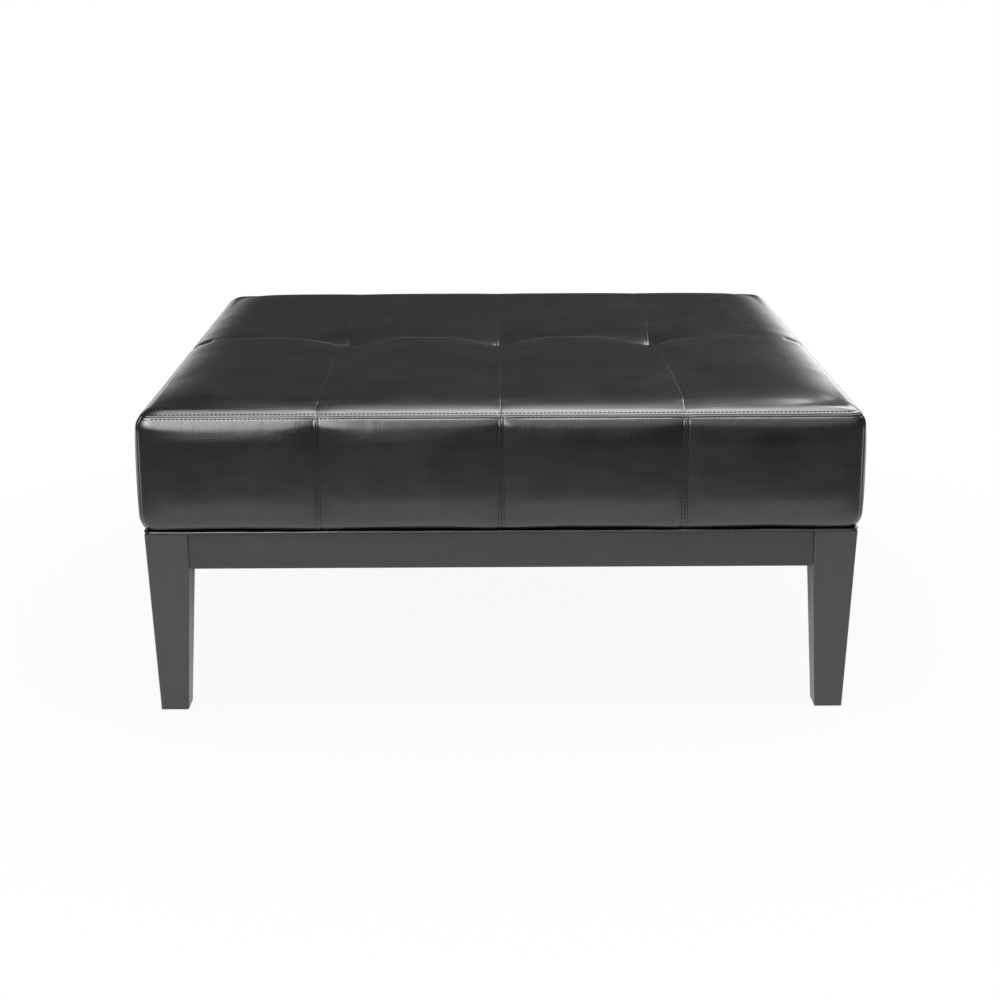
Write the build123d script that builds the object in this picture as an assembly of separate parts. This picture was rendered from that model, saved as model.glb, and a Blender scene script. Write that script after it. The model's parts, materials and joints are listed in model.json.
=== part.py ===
from build123d import *
import os
from math import cos, radians, sin, sqrt

# Overall size: a square table with its origin on the floor, under its middle
width = 914.0
depth = 914.0
base_height = 240.0          # floor to the underside of the padded box
box_height = 166.0           # underside of the padded box to the top of its crown
height = base_height + box_height

# Clearances, and the distance by which every cut runs past what it cuts
seam_gap = 0.3               # between the edges of two leather panels at a seam
soft_gap = 0.3               # between a soft piece and its neighbours
hole_gap = 0.1               # round a screw, bolt, dowel, nail or staple, on the radius
overrun = 30.0

# Leather cover: panels sewn edge to edge, four across and two deep
panels_across = 4
panels_deep = 2
leather = 1.5
side_bulge = 3.0             # how far each side panel swells beyond its seams
corner_radius = 15.0
edge_roll = 22.0             # radius of the padded edge between the sides and the top
crown_rise = 15.0            # seam round the top edge to the top of the crown
crown_run = 150.0            # distance in from the edge at which the crown is level
crown_spread_share = 0.35    # how fast the crown's corners open out as it rises
draw_in = 12.0               # how far the sides tuck in at the bottom
draw_height = 26.0
least_bulge = 0.05           # keeps every outline an arc where a panel has no swell

# Stations of the cushion's outline, as shares of each stretch of its side view
draw_shares = (0.0, 0.12, 0.25, 0.42, 0.65, 1.0)
side_shares = (0.25, 0.5, 0.8)
roll_shares = (0.0, 0.25, 0.5, 0.75, 1.0)
crown_shares = (0.1, 0.25, 0.45, 0.7, 1.0)
draw_power_share = 3.0
crown_power_share = 2.2
bulge_power_share = 2.5
seam_angle = 40.0            # where on the padded edge the seam runs
roll_end_angle = 83.0        # where the padded edge runs out into the crown

# Blind tufts, one at each crossing of the seams
tuft_depth = 16.0
tuft_reach = 45.0
tuft_swell = 3.2             # how far a tuft's flank stands above a straight cone
twine_radius = 1.2
twine_end_gap = 0.1
knot_radius = 4.0
tuft_washer_radius = 15.0
tuft_washer_thickness = 2.0
deck_hole_radius = 4.0

# Hem: the folded leather edge under the box
hem_thickness = 3.0
hem_inset = 7.5
hem_corner_radius = 8.0
hem_lip_radius = 1.2

# Foam
topper_thickness = 38.2
core_thickness = 24.0
pad_foot = 1.2               # side pad left where the cover pinches it at the bottom

# Wooden box inside the cover
deck_thickness = 12.0
rail_thickness = 32.0
rail_corner_radius = 12.0
cross_rail_width = 30.0
cross_rail_height = 60.0
cleat_leg = 70.0

# Dust cover and its staples
dust_thickness = 0.6
dust_inset = 36.0
dust_notch_gap = 0.5
staple_wire = 1.0
staple_crown = 10.0
staple_leg = 9.0
staple_line = 43.0           # in from the side of the table
staples_a_side = 11

# Legs, four-sided tapers
leg_inset = 9.5
leg_top = 54.0
leg_foot = 35.0
leg_edge = 1.2               # eased edges
leg_chamfer = 14.0           # flat on the inner corner for the corner block
glide_thickness = 3.0
glide_radius = 11.0
glide_edge = 0.8
nail_radius = 1.3
nail_length = 15.0

# Aprons between the legs
apron_height = 46.0
apron_thickness = 20.0
apron_setback = 2.5          # behind the leg's outer face
apron_edge = 0.8
joint_gap = 0.8              # open joint between an apron's end and the leg
dowel_radius = 4.0
dowel_length = 30.0
dowel_low = 12.0
dowel_high = 34.0

# Corner blocks and the fasteners that draw the base together
block_thickness = 30.0
block_height = 40.0
bolt_radius = 4.0
bolt_in_leg = 35.0
bolt_stub = 6.0              # thread standing past the nut
bolt_washer_radius = 9.0
bolt_washer_thickness = 1.6
nut_flats = 13.0
nut_height = 6.5
screw_radius = 2.0
screw_head_radius = 4.0
screw_head_height = 3.0
screw_bite = 15.0            # into the apron
base_screw_radius = 2.5
base_screw_head_radius = 5.0
base_screw_head_height = 3.5
base_screw_bite = 22.0       # into the box's corner cleat
base_screw_offset = 16.0     # each side of the hanger bolt
rail_screw_length = 60.0
rail_screw_low_share = 0.25
rail_screw_high_share = 0.75

# Places that follow from these sizes
half_width = width/2
half_depth = depth/2
seam_height = height - crown_rise
box_bottom = base_height + hem_thickness
deck_top = height - leather - soft_gap - topper_thickness - core_thickness
deck_bottom = deck_top - deck_thickness
core_top = deck_top + core_thickness
rail_inset = side_bulge + draw_in + leather + soft_gap + pad_foot
panel_reach = draw_in + corner_radius + leather + overrun
apron_bottom = base_height - apron_height
apron_inset = leg_inset + apron_setback
leg_inner_inset = leg_inset + leg_top
block_top = base_height - dust_thickness
block_bottom = block_top - block_height
block_middle = (block_top + block_bottom)/2
panel_width = width/panels_across
panel_depth = depth/panels_deep
seams_across = [panel_width*k - half_width for k in range(1, panels_across)]
seams_deep = [panel_depth*k - half_depth for k in range(1, panels_deep)]
leg_inner_x = half_width - leg_inner_inset
leg_inner_y = half_depth - leg_inner_inset
apron_inner_x = half_width - apron_inset - apron_thickness
apron_inner_y = half_depth - apron_inset - apron_thickness
diagonal = Vector(-1, -1, 0).normalized()
across_block = Vector(1, -1, 0).normalized()
seat_point = Vector(leg_inner_x + leg_chamfer/2, leg_inner_y + leg_chamfer/2, block_middle)
block_face = seat_point + diagonal*block_thickness
block_outer_sum = seat_point.X + seat_point.Y
block_inner_sum = block_face.X + block_face.Y
corners = {"front_left": (-1, -1), "front_right": (1, -1), "back_left": (-1, 1), "back_right": (1, 1)}
turns = {"front": 0, "right": 90, "back": 180, "left": 270}
parts = {}


def keep(name, shapes):
    """Store a node; a group of like fasteners is kept as separate solids."""
    solids = [solid for shape in shapes for solid in shape.solids()]
    parts[name] = solids[0] if len(solids) == 1 else Compound(children=solids)


def rod(start, end, radius):
    """A round bar between two points."""
    way = Vector(*end) - Vector(*start)
    return Solid.make_cylinder(radius, way.length, Plane(origin=Vector(*start), z_dir=way))


def block(low, high):
    """A square block between two opposite corners."""
    size = [b - a for a, b in zip(low, high)]
    return Solid.make_box(*size, Plane(origin=Vector(*low)))


def prism(points, bottom, top):
    """A plan outline raised from one height to another."""
    outline = Polyline(*[(x, y, bottom) for x, y in points], close=True)
    return Solid.extrude(Face(Wire(outline.edges())), Vector(0, 0, top - bottom))


def rounded_block(half_x, half_y, radius, bottom, top):
    """A block centred on the table whose upright corners are rounded."""
    body = block((-half_x, -half_y, bottom), (half_x, half_y, top))
    return body.fillet(radius, body.edges().filter_by(Axis.Z))


def cut(body, tools):
    """Take each tool out of the body."""
    for tool in tools:
        body = body - tool
    return body


def in_corner(shape, corner):
    """Carry a shape made for the back right corner to another corner."""
    sign_x, sign_y = corners[corner]
    if sign_x < 0:
        shape = shape.mirror(Plane.YZ)
    if sign_y < 0:
        shape = shape.mirror(Plane.XZ)
    return shape


# Cushion form


def side_view():
    """Heights and insets of the cushion's face from its bottom edge up to the seam."""
    points = []
    for share in draw_shares:
        points.append((box_bottom + draw_height*share, draw_in*(1 - share)**draw_power_share))
    draw_top = box_bottom + draw_height
    roll_bottom = seam_height - edge_roll*sin(radians(seam_angle))
    for share in side_shares:
        points.append((draw_top + share*(roll_bottom - draw_top), 0))
    for share in roll_shares:
        angle = radians(seam_angle*share)
        points.append((roll_bottom + edge_roll*sin(angle), edge_roll*(1 - cos(angle))))
    return points


def crown_view():
    """Heights and insets of the top from the seam to the level middle."""
    roll_bottom = seam_height - edge_roll*sin(radians(seam_angle))
    points = []
    for share in roll_shares:
        angle = radians(seam_angle + (roll_end_angle - seam_angle)*share)
        points.append((roll_bottom + edge_roll*sin(angle), edge_roll*(1 - cos(angle))))
    start_height, start_inset = points[-1]
    for share in crown_shares:
        rise = (height - start_height)*(1 - (1 - share)**crown_power_share)
        points.append((start_height + rise, start_inset + share*(crown_run - start_inset)))
    return points


def drawn_inside(points, skin):
    """The same side view, moved inwards square to itself by the thickness of what lies over it."""
    moved = []
    for index, (rise, inset) in enumerate(points):
        before = points[max(index - 1, 0)]
        after = points[min(index + 1, len(points) - 1)]
        along_rise, along_inset = after[0] - before[0], after[1] - before[1]
        length = sqrt(along_rise**2 + along_inset**2)
        moved.append((rise - skin*along_inset/length, inset + skin*along_rise/length))
    return moved


def bulge_at(rise):
    """Swell of the side panels at one height: none at the bottom and at the seam."""
    share = (rise - box_bottom)/(seam_height - box_bottom)
    swell = 1 - min(abs(2*share - 1), 1)**bulge_power_share
    return max(side_bulge*swell, least_bulge)


def outline(rise, inset, bulge, skin):
    """Level outline of the cushion: an arc for each panel and for each corner."""
    half_x, half_y = half_width - side_bulge - inset, half_depth - side_bulge - inset
    radius = corner_radius - skin
    if rise > seam_height:
        radius = radius + crown_spread_share*max(inset - edge_roll, 0)
    flat_x, flat_y = half_x - radius, half_y - radius
    full_x = half_width - side_bulge - corner_radius
    full_y = half_depth - side_bulge - corner_radius
    stops_x = [-flat_x] + [x*flat_x/full_x for x in seams_across] + [flat_x]
    stops_y = [-flat_y] + [y*flat_y/full_y for y in seams_deep] + [flat_y]
    quarter = radius*(1 - 1/sqrt(2))
    arcs = []
    for side, turn in turns.items():
        if side in ("front", "back"):
            stops, face, flat, half = stops_x, half_y, flat_x, half_x
        else:
            stops, face, flat, half = stops_y, half_x, flat_y, half_y
        points = []
        for start, end in zip(stops, stops[1:]):
            points.append([(start, face), ((start + end)/2, face + bulge), (end, face)])
        points.append([(flat, face), (half - quarter, face - quarter), (half, face - radius)])
        for three in points:
            places = [Vector(along, -out, rise).rotate(Axis.Z, turn) for along, out in three]
            arcs.append(ThreePointArc(*places))
    return Face(Wire([edge for arc in arcs for edge in arc.edges()]))


def tuft_pit(x, skin):
    """The hollow that one tuft pulls into the top."""
    rim = Vector(x + tuft_reach, 0, height - skin)
    pit = Vector(x, 0, height - skin - tuft_depth)
    chord = rim - pit
    up = Vector(-chord.Z, 0, chord.X).normalized()
    flank = ThreePointArc(pit, (rim + pit)/2 + up*tuft_swell, rim)
    over = Vector(0, 0, overrun)
    wire = Wire([flank.edge(), Edge.make_line(rim, rim + over),
                 Edge.make_line(rim + over, pit + over), Edge.make_line(pit + over, pit)])
    return Solid.revolve(Face(wire), 360, Axis((x, 0, 0), (0, 0, 1)))


def cushion_form(skin):
    """The closed form of the cushion, drawn inside its outer face by skin."""
    stations = drawn_inside(side_view() + crown_view()[1:], skin)
    levels = [outline(rise, inset, bulge_at(rise), skin) for rise, inset in stations]
    form = loft(levels, ruled=True).solid()
    if skin:
        form = form + Solid.extrude(levels[0], Vector(0, 0, -overrun))
    return cut(form, [tuft_pit(x, skin) for x in seams_across])


def side_region(side, start, end, bottom, top, gap):
    """Plan wedge of one side panel: square at its seams, mitred at the table's corners."""
    along, out = (half_width, half_depth) if side in ("front", "back") else (half_depth, half_width)
    far, near = out + overrun, out - panel_reach
    low_far = low_near = start + gap/2
    high_far = high_near = end - gap/2
    if start <= -along:
        low_far, low_near = -along - overrun + gap/2, -along + panel_reach + gap/2
    if end >= along:
        high_far, high_near = along + overrun - gap/2, along - panel_reach - gap/2
    points = [(low_far, -far), (high_far, -far), (high_near, -near), (low_near, -near)]
    return prism(points, bottom, top).rotate(Axis.Z, turns[side])


outer_form = cushion_form(0)
cover_shell = outer_form - cushion_form(leather)
foam_form = cushion_form(leather + soft_gap)


# Leather cover


def make_top_panels():
    """The panels of the top, each up to the seams round it."""
    stops_x = [-half_width - overrun] + seams_across + [half_width + overrun]
    stops_y = [-half_depth - overrun] + seams_deep + [half_depth + overrun]
    edge = seam_gap/2
    for row, (front, back) in enumerate(zip(stops_y, stops_y[1:]), 1):
        for column, (left, right) in enumerate(zip(stops_x, stops_x[1:]), 1):
            low = (left + edge, front + edge, seam_height + edge)
            high = (right - edge, back - edge, height + overrun)
            keep(f"cover_top_row{row}_panel{column}", [cover_shell & block(low, high)])


def make_side_panels():
    """The panels of the four sides, from the hem up to the top seam."""
    for side in turns:
        half, seams = (half_width, seams_across) if side in ("front", "back") else (half_depth, seams_deep)
        stops = [-half] + seams + [half]
        for number, (start, end) in enumerate(zip(stops, stops[1:]), 1):
            region = side_region(side, start, end, box_bottom, seam_height - seam_gap/2, seam_gap)
            keep(f"cover_{side}_panel{number}", [cover_shell & region])


# Fasteners


def staple_places():
    """Staples in a row along each side, clear of the corner blocks."""
    places = []
    for side, turn in turns.items():
        line = (half_depth if side in ("front", "back") else half_width) - staple_line
        end = block_inner_sum - line - staple_crown
        for index in range(staples_a_side):
            places.append((end*(2*index/(staples_a_side - 1) - 1), -line, turn))
    return places


def staple(x, y, turn, gap):
    """A wire staple driven up through the dust cover and the hem into a rail."""
    half, wire = staple_crown/2, staple_wire/2 + gap
    top = block_top + staple_leg
    crown_bottom = block_top - staple_wire
    body = block((x - half, y - wire, crown_bottom - gap), (x + half, y + wire, block_top))
    for foot in (x - half, x + half - staple_wire):
        low, high = (foot - gap, y - wire, crown_bottom), (foot + staple_wire + gap, y + wire, top + gap)
        body = body + block(low, high)
    return body.rotate(Axis.Z, turn)


def screw(start, end, radius, head_radius, head_height, gap=0.0, mouth=0.0):
    """A headed screw from its head's face to its tip, or with a gap the hole that takes it."""
    way = (Vector(*end) - Vector(*start)).normalized()
    seat = Vector(*start) + way*head_height
    shank = rod(tuple(seat), tuple(Vector(*end) + way*gap), radius + gap)
    head = rod(tuple(Vector(*start) - way*mouth), tuple(seat), head_radius + gap)
    return head + shank


def hanger_bolt(gap=0.0):
    """Bolt from inside the leg, square through the corner block."""
    start = seat_point - diagonal*(bolt_in_leg + gap)
    end = block_face + diagonal*(bolt_washer_thickness + nut_height + bolt_stub)
    return rod(tuple(start), tuple(end), bolt_radius + gap)


def hanger_washer():
    end = block_face + diagonal*bolt_washer_thickness
    return rod(tuple(block_face), tuple(end), bolt_washer_radius) - hanger_bolt(hole_gap)


def hanger_nut():
    place = Plane(origin=block_face + diagonal*bolt_washer_thickness, z_dir=diagonal)
    hexagon = place * RegularPolygon(nut_flats/2, 6, major_radius=False)
    return extrude(hexagon, nut_height, dir=diagonal) - hanger_bolt(hole_gap)


def apron_screws(gap=0.0):
    """Two screws that hold a corner block to its two aprons."""
    mouth = 0.0 if gap == 0 else block_thickness
    at_y = (block_inner_sum + block_outer_sum)/2 - apron_inner_x
    at_x = (block_inner_sum + block_outer_sum)/2 - apron_inner_y
    head_x = block_inner_sum - (at_y - screw_head_radius)
    head_y = block_inner_sum - (at_x - screw_head_radius)
    tip_x, tip_y = apron_inner_x + screw_bite, apron_inner_y + screw_bite
    sizes = (screw_radius, screw_head_radius, screw_head_height, gap, mouth)
    return [screw((head_x, at_y, block_middle), (tip_x, at_y, block_middle), *sizes),
            screw((at_x, head_y, block_middle), (at_x, tip_y, block_middle), *sizes)]


def base_screws(gap=0.0):
    """Two upright screws that hold a corner block to the box above it."""
    middle = (seat_point + block_face)/2
    mouth = 0.0 if gap == 0 else overrun
    sizes = (base_screw_radius, base_screw_head_radius, base_screw_head_height, gap, mouth)
    screws = []
    for way in (-1, 1):
        at = middle + across_block*(base_screw_offset*way)
        screws.append(screw((at.X, at.Y, block_bottom), (at.X, at.Y, box_bottom + base_screw_bite), *sizes))
    return screws


def dowels(gap=0.0):
    """The four dowels at one leg, two into each apron."""
    pins = []
    x, y = leg_inner_x, leg_inner_y
    middle_x = apron_inner_x + apron_thickness/2
    middle_y = apron_inner_y + apron_thickness/2
    reach = dowel_length/2 + gap
    for rise in (apron_bottom + dowel_low, apron_bottom + dowel_high):
        pins.append(rod((x - reach, middle_y, rise), (x + reach, middle_y, rise), dowel_radius + gap))
        pins.append(rod((middle_x, y - reach, rise), (middle_x, y + reach, rise), dowel_radius + gap))
    return pins


def rail_screws(gap=0.0):
    """Two screws at each corner of the box, through a long rail into the end of a short one."""
    rail_y = half_depth - rail_inset
    at_x = half_width - rail_inset - rail_thickness/2
    rail_height = deck_bottom - box_bottom
    screws = []
    mouth = 0.0 if gap == 0 else overrun
    sizes = (screw_radius, screw_head_radius, screw_head_height, gap, mouth)
    for share in (rail_screw_low_share, rail_screw_high_share):
        rise = box_bottom + rail_height*share
        screws.append(screw((at_x, rail_y, rise), (at_x, rail_y - rail_screw_length, rise), *sizes))
    return screws


# Base


def make_leg():
    """A leg: straight on its inner faces beside the aprons, tapered below them."""
    outer_x, outer_y = half_width - leg_inset, half_depth - leg_inset
    taper = (leg_top - leg_foot)/2
    at_apron = taper*apron_height/(base_height - glide_thickness)
    levels = [(base_height, 0, 0), (apron_bottom, at_apron, 0), (glide_thickness, taper, taper)]
    faces = []
    for rise, outside, inside in levels:
        low_x, high_x = leg_inner_x + inside, outer_x - outside
        low_y, high_y = leg_inner_y + inside, outer_y - outside
        square = Polyline((low_x, low_y, rise), (high_x, low_y, rise), (high_x, high_y, rise),
                          (low_x, high_y, rise), close=True)
        faces.append(Face(Wire(square.edges())))
    body = (loft(faces[:2], ruled=True) + loft(faces[1:], ruled=True)).solid()
    upright = [edge for edge in body.edges() if abs(edge.tangent_at(0.5).Z) > cos(radians(seam_angle))]
    body = body.chamfer(leg_edge, None, upright)
    low_x, low_y = leg_inner_x - overrun, leg_inner_y - overrun
    far = leg_chamfer + 2*overrun
    flat_points = [(low_x, low_y), (low_x + far, low_y), (low_x, low_y + far)]
    flat = prism(flat_points, apron_bottom, base_height + overrun)
    return cut(body, [flat, hanger_bolt(hole_gap), glide_nail(hole_gap)] + dowels(hole_gap))


def leg_centre():
    return half_width - leg_inset - leg_top/2, half_depth - leg_inset - leg_top/2


def glide_nail(gap=0.0):
    x, y = leg_centre()
    return rod((x, y, glide_thickness), (x, y, glide_thickness + nail_length + gap), nail_radius + gap)


def make_glide():
    """A nail-on glide: a flat disc with a nail that goes up into the foot."""
    x, y = leg_centre()
    disc = rod((x, y, 0), (x, y, glide_thickness), glide_radius)
    disc = disc.chamfer(glide_edge, None, disc.edges().sort_by(Axis.Z)[:1])
    return disc + glide_nail()


def make_aprons():
    """Four boards between the legs, drilled for their dowels and screws."""
    outer_y, outer_x = half_depth - apron_inset, half_width - apron_inset
    end_x, end_y = leg_inner_x - joint_gap, leg_inner_y - joint_gap
    long_board = block((-end_x, apron_inner_y, apron_bottom), (end_x, outer_y, base_height))
    side_board = block((apron_inner_x, -end_y, apron_bottom), (outer_x, end_y, base_height))
    tools = [in_corner(tool, corner) for corner in ("back_right", "back_left", "front_right")
             for tool in dowels(hole_gap) + apron_screws(hole_gap)]
    for name, opposite, board, axis, mirror in (("back", "front", long_board, Axis.X, Plane.XZ),
                                                ("right", "left", side_board, Axis.Y, Plane.YZ)):
        eased = board.chamfer(apron_edge, None, board.edges().filter_by(axis).group_by(Axis.Z)[0])
        drilled = cut(eased, tools)
        keep(f"apron_{name}", [drilled])
        keep(f"apron_{opposite}", [drilled.mirror(mirror)])


def make_corner_block():
    """A block across the corner, from apron to apron, flat against the leg."""
    points = [(apron_inner_x, block_outer_sum - apron_inner_x),
              (block_outer_sum - apron_inner_y, apron_inner_y),
              (block_inner_sum - apron_inner_y, apron_inner_y),
              (apron_inner_x, block_inner_sum - apron_inner_x)]
    body = prism(points, block_bottom, block_top)
    return cut(body, [hanger_bolt(hole_gap)] + apron_screws(hole_gap) + base_screws(hole_gap))


def make_base():
    leg, glide, corner_block = make_leg(), make_glide(), make_corner_block()
    for corner in corners:
        keep(f"leg_{corner}", [in_corner(leg, corner)])
        keep(f"corner_block_{corner}", [in_corner(corner_block, corner)])
    groups = {"foot_glides": [glide], "apron_dowels": dowels(), "hanger_bolts": [hanger_bolt()],
              "hanger_washers": [hanger_washer()], "hanger_nuts": [hanger_nut()],
              "corner_block_screws": apron_screws(), "base_to_box_screws": base_screws(),
              "box_rail_screws": rail_screws()}
    for name, pieces in groups.items():
        keep(name, [in_corner(piece, corner) for corner in corners for piece in pieces])
    make_aprons()


# Box and padding


def touches(body, tool):
    """True where the bounding boxes of two shapes meet."""
    a, b = body.bounding_box(), tool.bounding_box()
    spans = list(zip(a.min, b.max)) + list(zip(b.min, a.max))
    return all(low <= high for low, high in spans)


def make_box():
    """Rails, cleats, cross rails and deck of the box, with the holes their fasteners need."""
    rail_x, rail_y = half_width - rail_inset, half_depth - rail_inset
    inner_x, inner_y = rail_x - rail_thickness, rail_y - rail_thickness
    rounded = rounded_block(rail_x, rail_y, rail_corner_radius, box_bottom, deck_bottom)
    screws = [in_corner(tool, corner) for corner in corners for tool in rail_screws(hole_gap)]
    staples = [staple(*place, hole_gap) for place in staple_places()]
    rails = {"back": block((-rail_x, inner_y, box_bottom), (rail_x, rail_y, deck_bottom)),
             "front": block((-rail_x, -rail_y, box_bottom), (rail_x, -inner_y, deck_bottom)),
             "left": block((-rail_x, -inner_y, box_bottom), (-inner_x, inner_y, deck_bottom)),
             "right": block((inner_x, -inner_y, box_bottom), (rail_x, inner_y, deck_bottom))}
    for name, rail in rails.items():
        near = [tool for tool in screws + staples if touches(rail, tool)]
        keep(f"box_rail_{name}", [cut(rail & rounded, near)])
    cleat = prism([(inner_x, inner_y), (inner_x, inner_y - cleat_leg), (inner_x - cleat_leg, inner_y)],
                  box_bottom, deck_bottom)
    cleat = cut(cleat, base_screws(hole_gap))
    keep("corner_cleats", [in_corner(cleat, corner) for corner in corners])
    for name, side in (("left", -1), ("right", 1)):
        middle = side*panel_width/2
        half = cross_rail_width/2
        keep(f"cross_rail_{name}", [block((middle - half, -inner_y, deck_bottom - cross_rail_height),
                                          (middle + half, inner_y, deck_bottom))])
    deck = rounded_block(rail_x, rail_y, rail_corner_radius, deck_bottom, deck_top)
    holes = [rod((x, 0, deck_bottom - overrun), (x, 0, height), deck_hole_radius) for x in seams_across]
    keep("deck_board", [cut(deck, holes)])


def make_foam():
    """Flat core, crowned topper and four side pads, all inside the cover."""
    reach_x, reach_y = half_width + overrun, half_depth + overrun
    holes = [rod((x, 0, deck_top - overrun), (x, 0, height), twine_radius + soft_gap) for x in seams_across]
    core_slab = block((-reach_x, -reach_y, deck_top + soft_gap), (reach_x, reach_y, core_top))
    topper_slab = block((-reach_x, -reach_y, core_top + soft_gap), (reach_x, reach_y, height))
    keep("foam_core", [cut(foam_form & core_slab, holes)])
    keep("foam_topper", [cut(foam_form & topper_slab, holes)])
    frame = rounded_block(half_width - rail_inset + soft_gap, half_depth - rail_inset + soft_gap,
                          rail_corner_radius, box_bottom - overrun, height)
    for side in turns:
        half = half_width if side in ("front", "back") else half_depth
        region = side_region(side, -half, half, box_bottom + soft_gap, deck_top, soft_gap)
        keep(f"side_pad_{side}", [(foam_form & region) - frame])


def make_tufts():
    """Twine from each tuft down through the foam to a washer and a knot under the deck."""
    washer_bottom = deck_bottom - tuft_washer_thickness
    twine_top = height - tuft_depth - leather - twine_end_gap
    twines, washers = [], []
    for x in seams_across:
        knot = Solid.make_sphere(knot_radius, Plane(origin=Vector(x, 0, washer_bottom - knot_radius)))
        twines.append(knot + rod((x, 0, washer_bottom - knot_radius), (x, 0, twine_top), twine_radius))
        disc = rod((x, 0, washer_bottom), (x, 0, deck_bottom), tuft_washer_radius)
        hole = rod((x, 0, washer_bottom - overrun), (x, 0, height), twine_radius + hole_gap)
        washers.append(disc - hole)
    keep("tuft_twines", twines)
    keep("tuft_washers", washers)


def make_underside():
    """The hem ring, the dust cover inside the aprons and the staples through both."""
    places = staple_places()
    tools = [staple(*place, hole_gap) for place in places]
    hem_x, hem_y = half_width - hem_inset, half_depth - hem_inset
    ring = rounded_block(hem_x, hem_y, hem_corner_radius, base_height, box_bottom)
    flats = ring.faces().sort_by(Axis.Z)
    ring = ring.fillet(hem_lip_radius, flats[0].edges() + flats[-1].edges())
    inner_x = half_width - rail_inset - rail_thickness
    inner_y = half_depth - rail_inset - rail_thickness
    ring = ring - block((-inner_x, -inner_y, base_height - overrun), (inner_x, inner_y, height))
    keep("cover_hem", [cut(ring, tools)])
    dust_x, dust_y = half_width - dust_inset, half_depth - dust_inset
    sheet = block((-dust_x, -dust_y, block_top), (dust_x, dust_y, base_height))
    notch = block((leg_inner_x - dust_notch_gap, leg_inner_y - dust_notch_gap, base_height - overrun),
                  (half_width, half_depth, height))
    notches = [in_corner(tool, corner) for corner in corners for tool in [notch] + base_screws(hole_gap)]
    keep("dust_cover", [cut(sheet, notches + tools)])
    keep("cover_staples", [staple(*place, 0.0) for place in places])


make_top_panels()
make_side_panels()
make_base()
make_box()
make_foam()
make_tufts()
make_underside()

os.makedirs("parts", exist_ok=True)
for name, shape in parts.items():
    export_step(shape, f"parts/{name}.step")
print(len(parts), "nodes,", sum(len(shape.solids()) for shape in parts.values()), "solids")
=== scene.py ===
# %% [markdown]
# # A padded leather ottoman on a wooden base
#
# The real table is a shallow wooden box, wrapped in foam and covered with sewn panels of glossy
# black leather, on a base of four tapered legs and four aprons. This lesson loads the finished
# construction as a fixed frame and then gives each piece its looks. The rigid pieces keep their
# shapes and only get materials. The soft ones are made again here, because leather over foam
# needs swells, puckers and seams that a solid model of the construction doesn't have.

# %% Load the frame
import bmesh
import bpy
import json
import math
from mathutils import Matrix, Vector, noise
from mathutils.bvhtree import BVHTree


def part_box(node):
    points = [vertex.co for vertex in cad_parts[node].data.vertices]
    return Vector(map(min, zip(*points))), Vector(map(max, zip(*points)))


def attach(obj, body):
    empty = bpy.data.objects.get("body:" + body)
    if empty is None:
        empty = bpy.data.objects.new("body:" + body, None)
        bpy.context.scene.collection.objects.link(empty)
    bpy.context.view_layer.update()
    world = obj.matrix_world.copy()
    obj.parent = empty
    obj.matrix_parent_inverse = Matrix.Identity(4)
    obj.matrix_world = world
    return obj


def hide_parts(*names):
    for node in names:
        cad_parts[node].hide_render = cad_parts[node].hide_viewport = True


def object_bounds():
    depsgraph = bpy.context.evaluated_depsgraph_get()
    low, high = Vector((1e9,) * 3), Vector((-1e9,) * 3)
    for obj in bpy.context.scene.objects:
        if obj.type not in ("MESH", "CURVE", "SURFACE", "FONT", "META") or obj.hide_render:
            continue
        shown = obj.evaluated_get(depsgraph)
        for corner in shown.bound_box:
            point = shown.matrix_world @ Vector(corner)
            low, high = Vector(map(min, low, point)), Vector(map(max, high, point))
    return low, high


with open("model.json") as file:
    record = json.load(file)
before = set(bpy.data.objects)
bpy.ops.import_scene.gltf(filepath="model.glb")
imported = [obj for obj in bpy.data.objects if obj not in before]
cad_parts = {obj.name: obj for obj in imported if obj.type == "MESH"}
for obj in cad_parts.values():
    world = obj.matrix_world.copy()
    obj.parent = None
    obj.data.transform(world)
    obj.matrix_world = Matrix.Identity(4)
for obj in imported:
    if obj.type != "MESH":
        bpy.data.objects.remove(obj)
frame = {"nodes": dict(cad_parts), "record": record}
cad_low, cad_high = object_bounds()
MM = 0.001
print("pieces in the frame:", len(frame["nodes"]))

# %% [markdown]
# ## Sizes read from the frame
#
# The cushion is made here, but it has to fit the frame. So the heights of its seam, its bottom
# edge and its crown, and the half width of its sides, are read from the boxes of the panels.
# The places of the seams are read the same way: a seam lies where two panels meet.

# %% Sizes of the cushion
side_room = 3.5*MM            # what the sides stay inside the frame's box, before they bulge
cushion_half = cad_high.x - side_room
crown_height = cad_high.z
seam_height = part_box("cover_front_panel2")[1].z
cover_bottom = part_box("cover_front_panel2")[0].z
hem_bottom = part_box("cover_hem")[0].z
seams_across = [(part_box(f"cover_top_row1_panel{k}")[1].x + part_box(f"cover_top_row1_panel{k + 1}")[0].x)/2
                for k in (1, 2, 3)]
seam_deep = (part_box("cover_top_row1_panel1")[1].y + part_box("cover_top_row2_panel1")[0].y)/2
print("seam round the top at", round(seam_height, 4), "crown at", round(crown_height, 4))
print("seams across at", [round(x, 4) for x in seams_across])

# %% [markdown]
# ## The camera
#
# The camera stands half a metre above the table top and 2.7 metres in front of its middle, and
# looks slightly down with a long lens. The angles were solved from the places of seams, feet and
# edges, and the small shift moves the table up in the picture without turning the camera.

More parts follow.
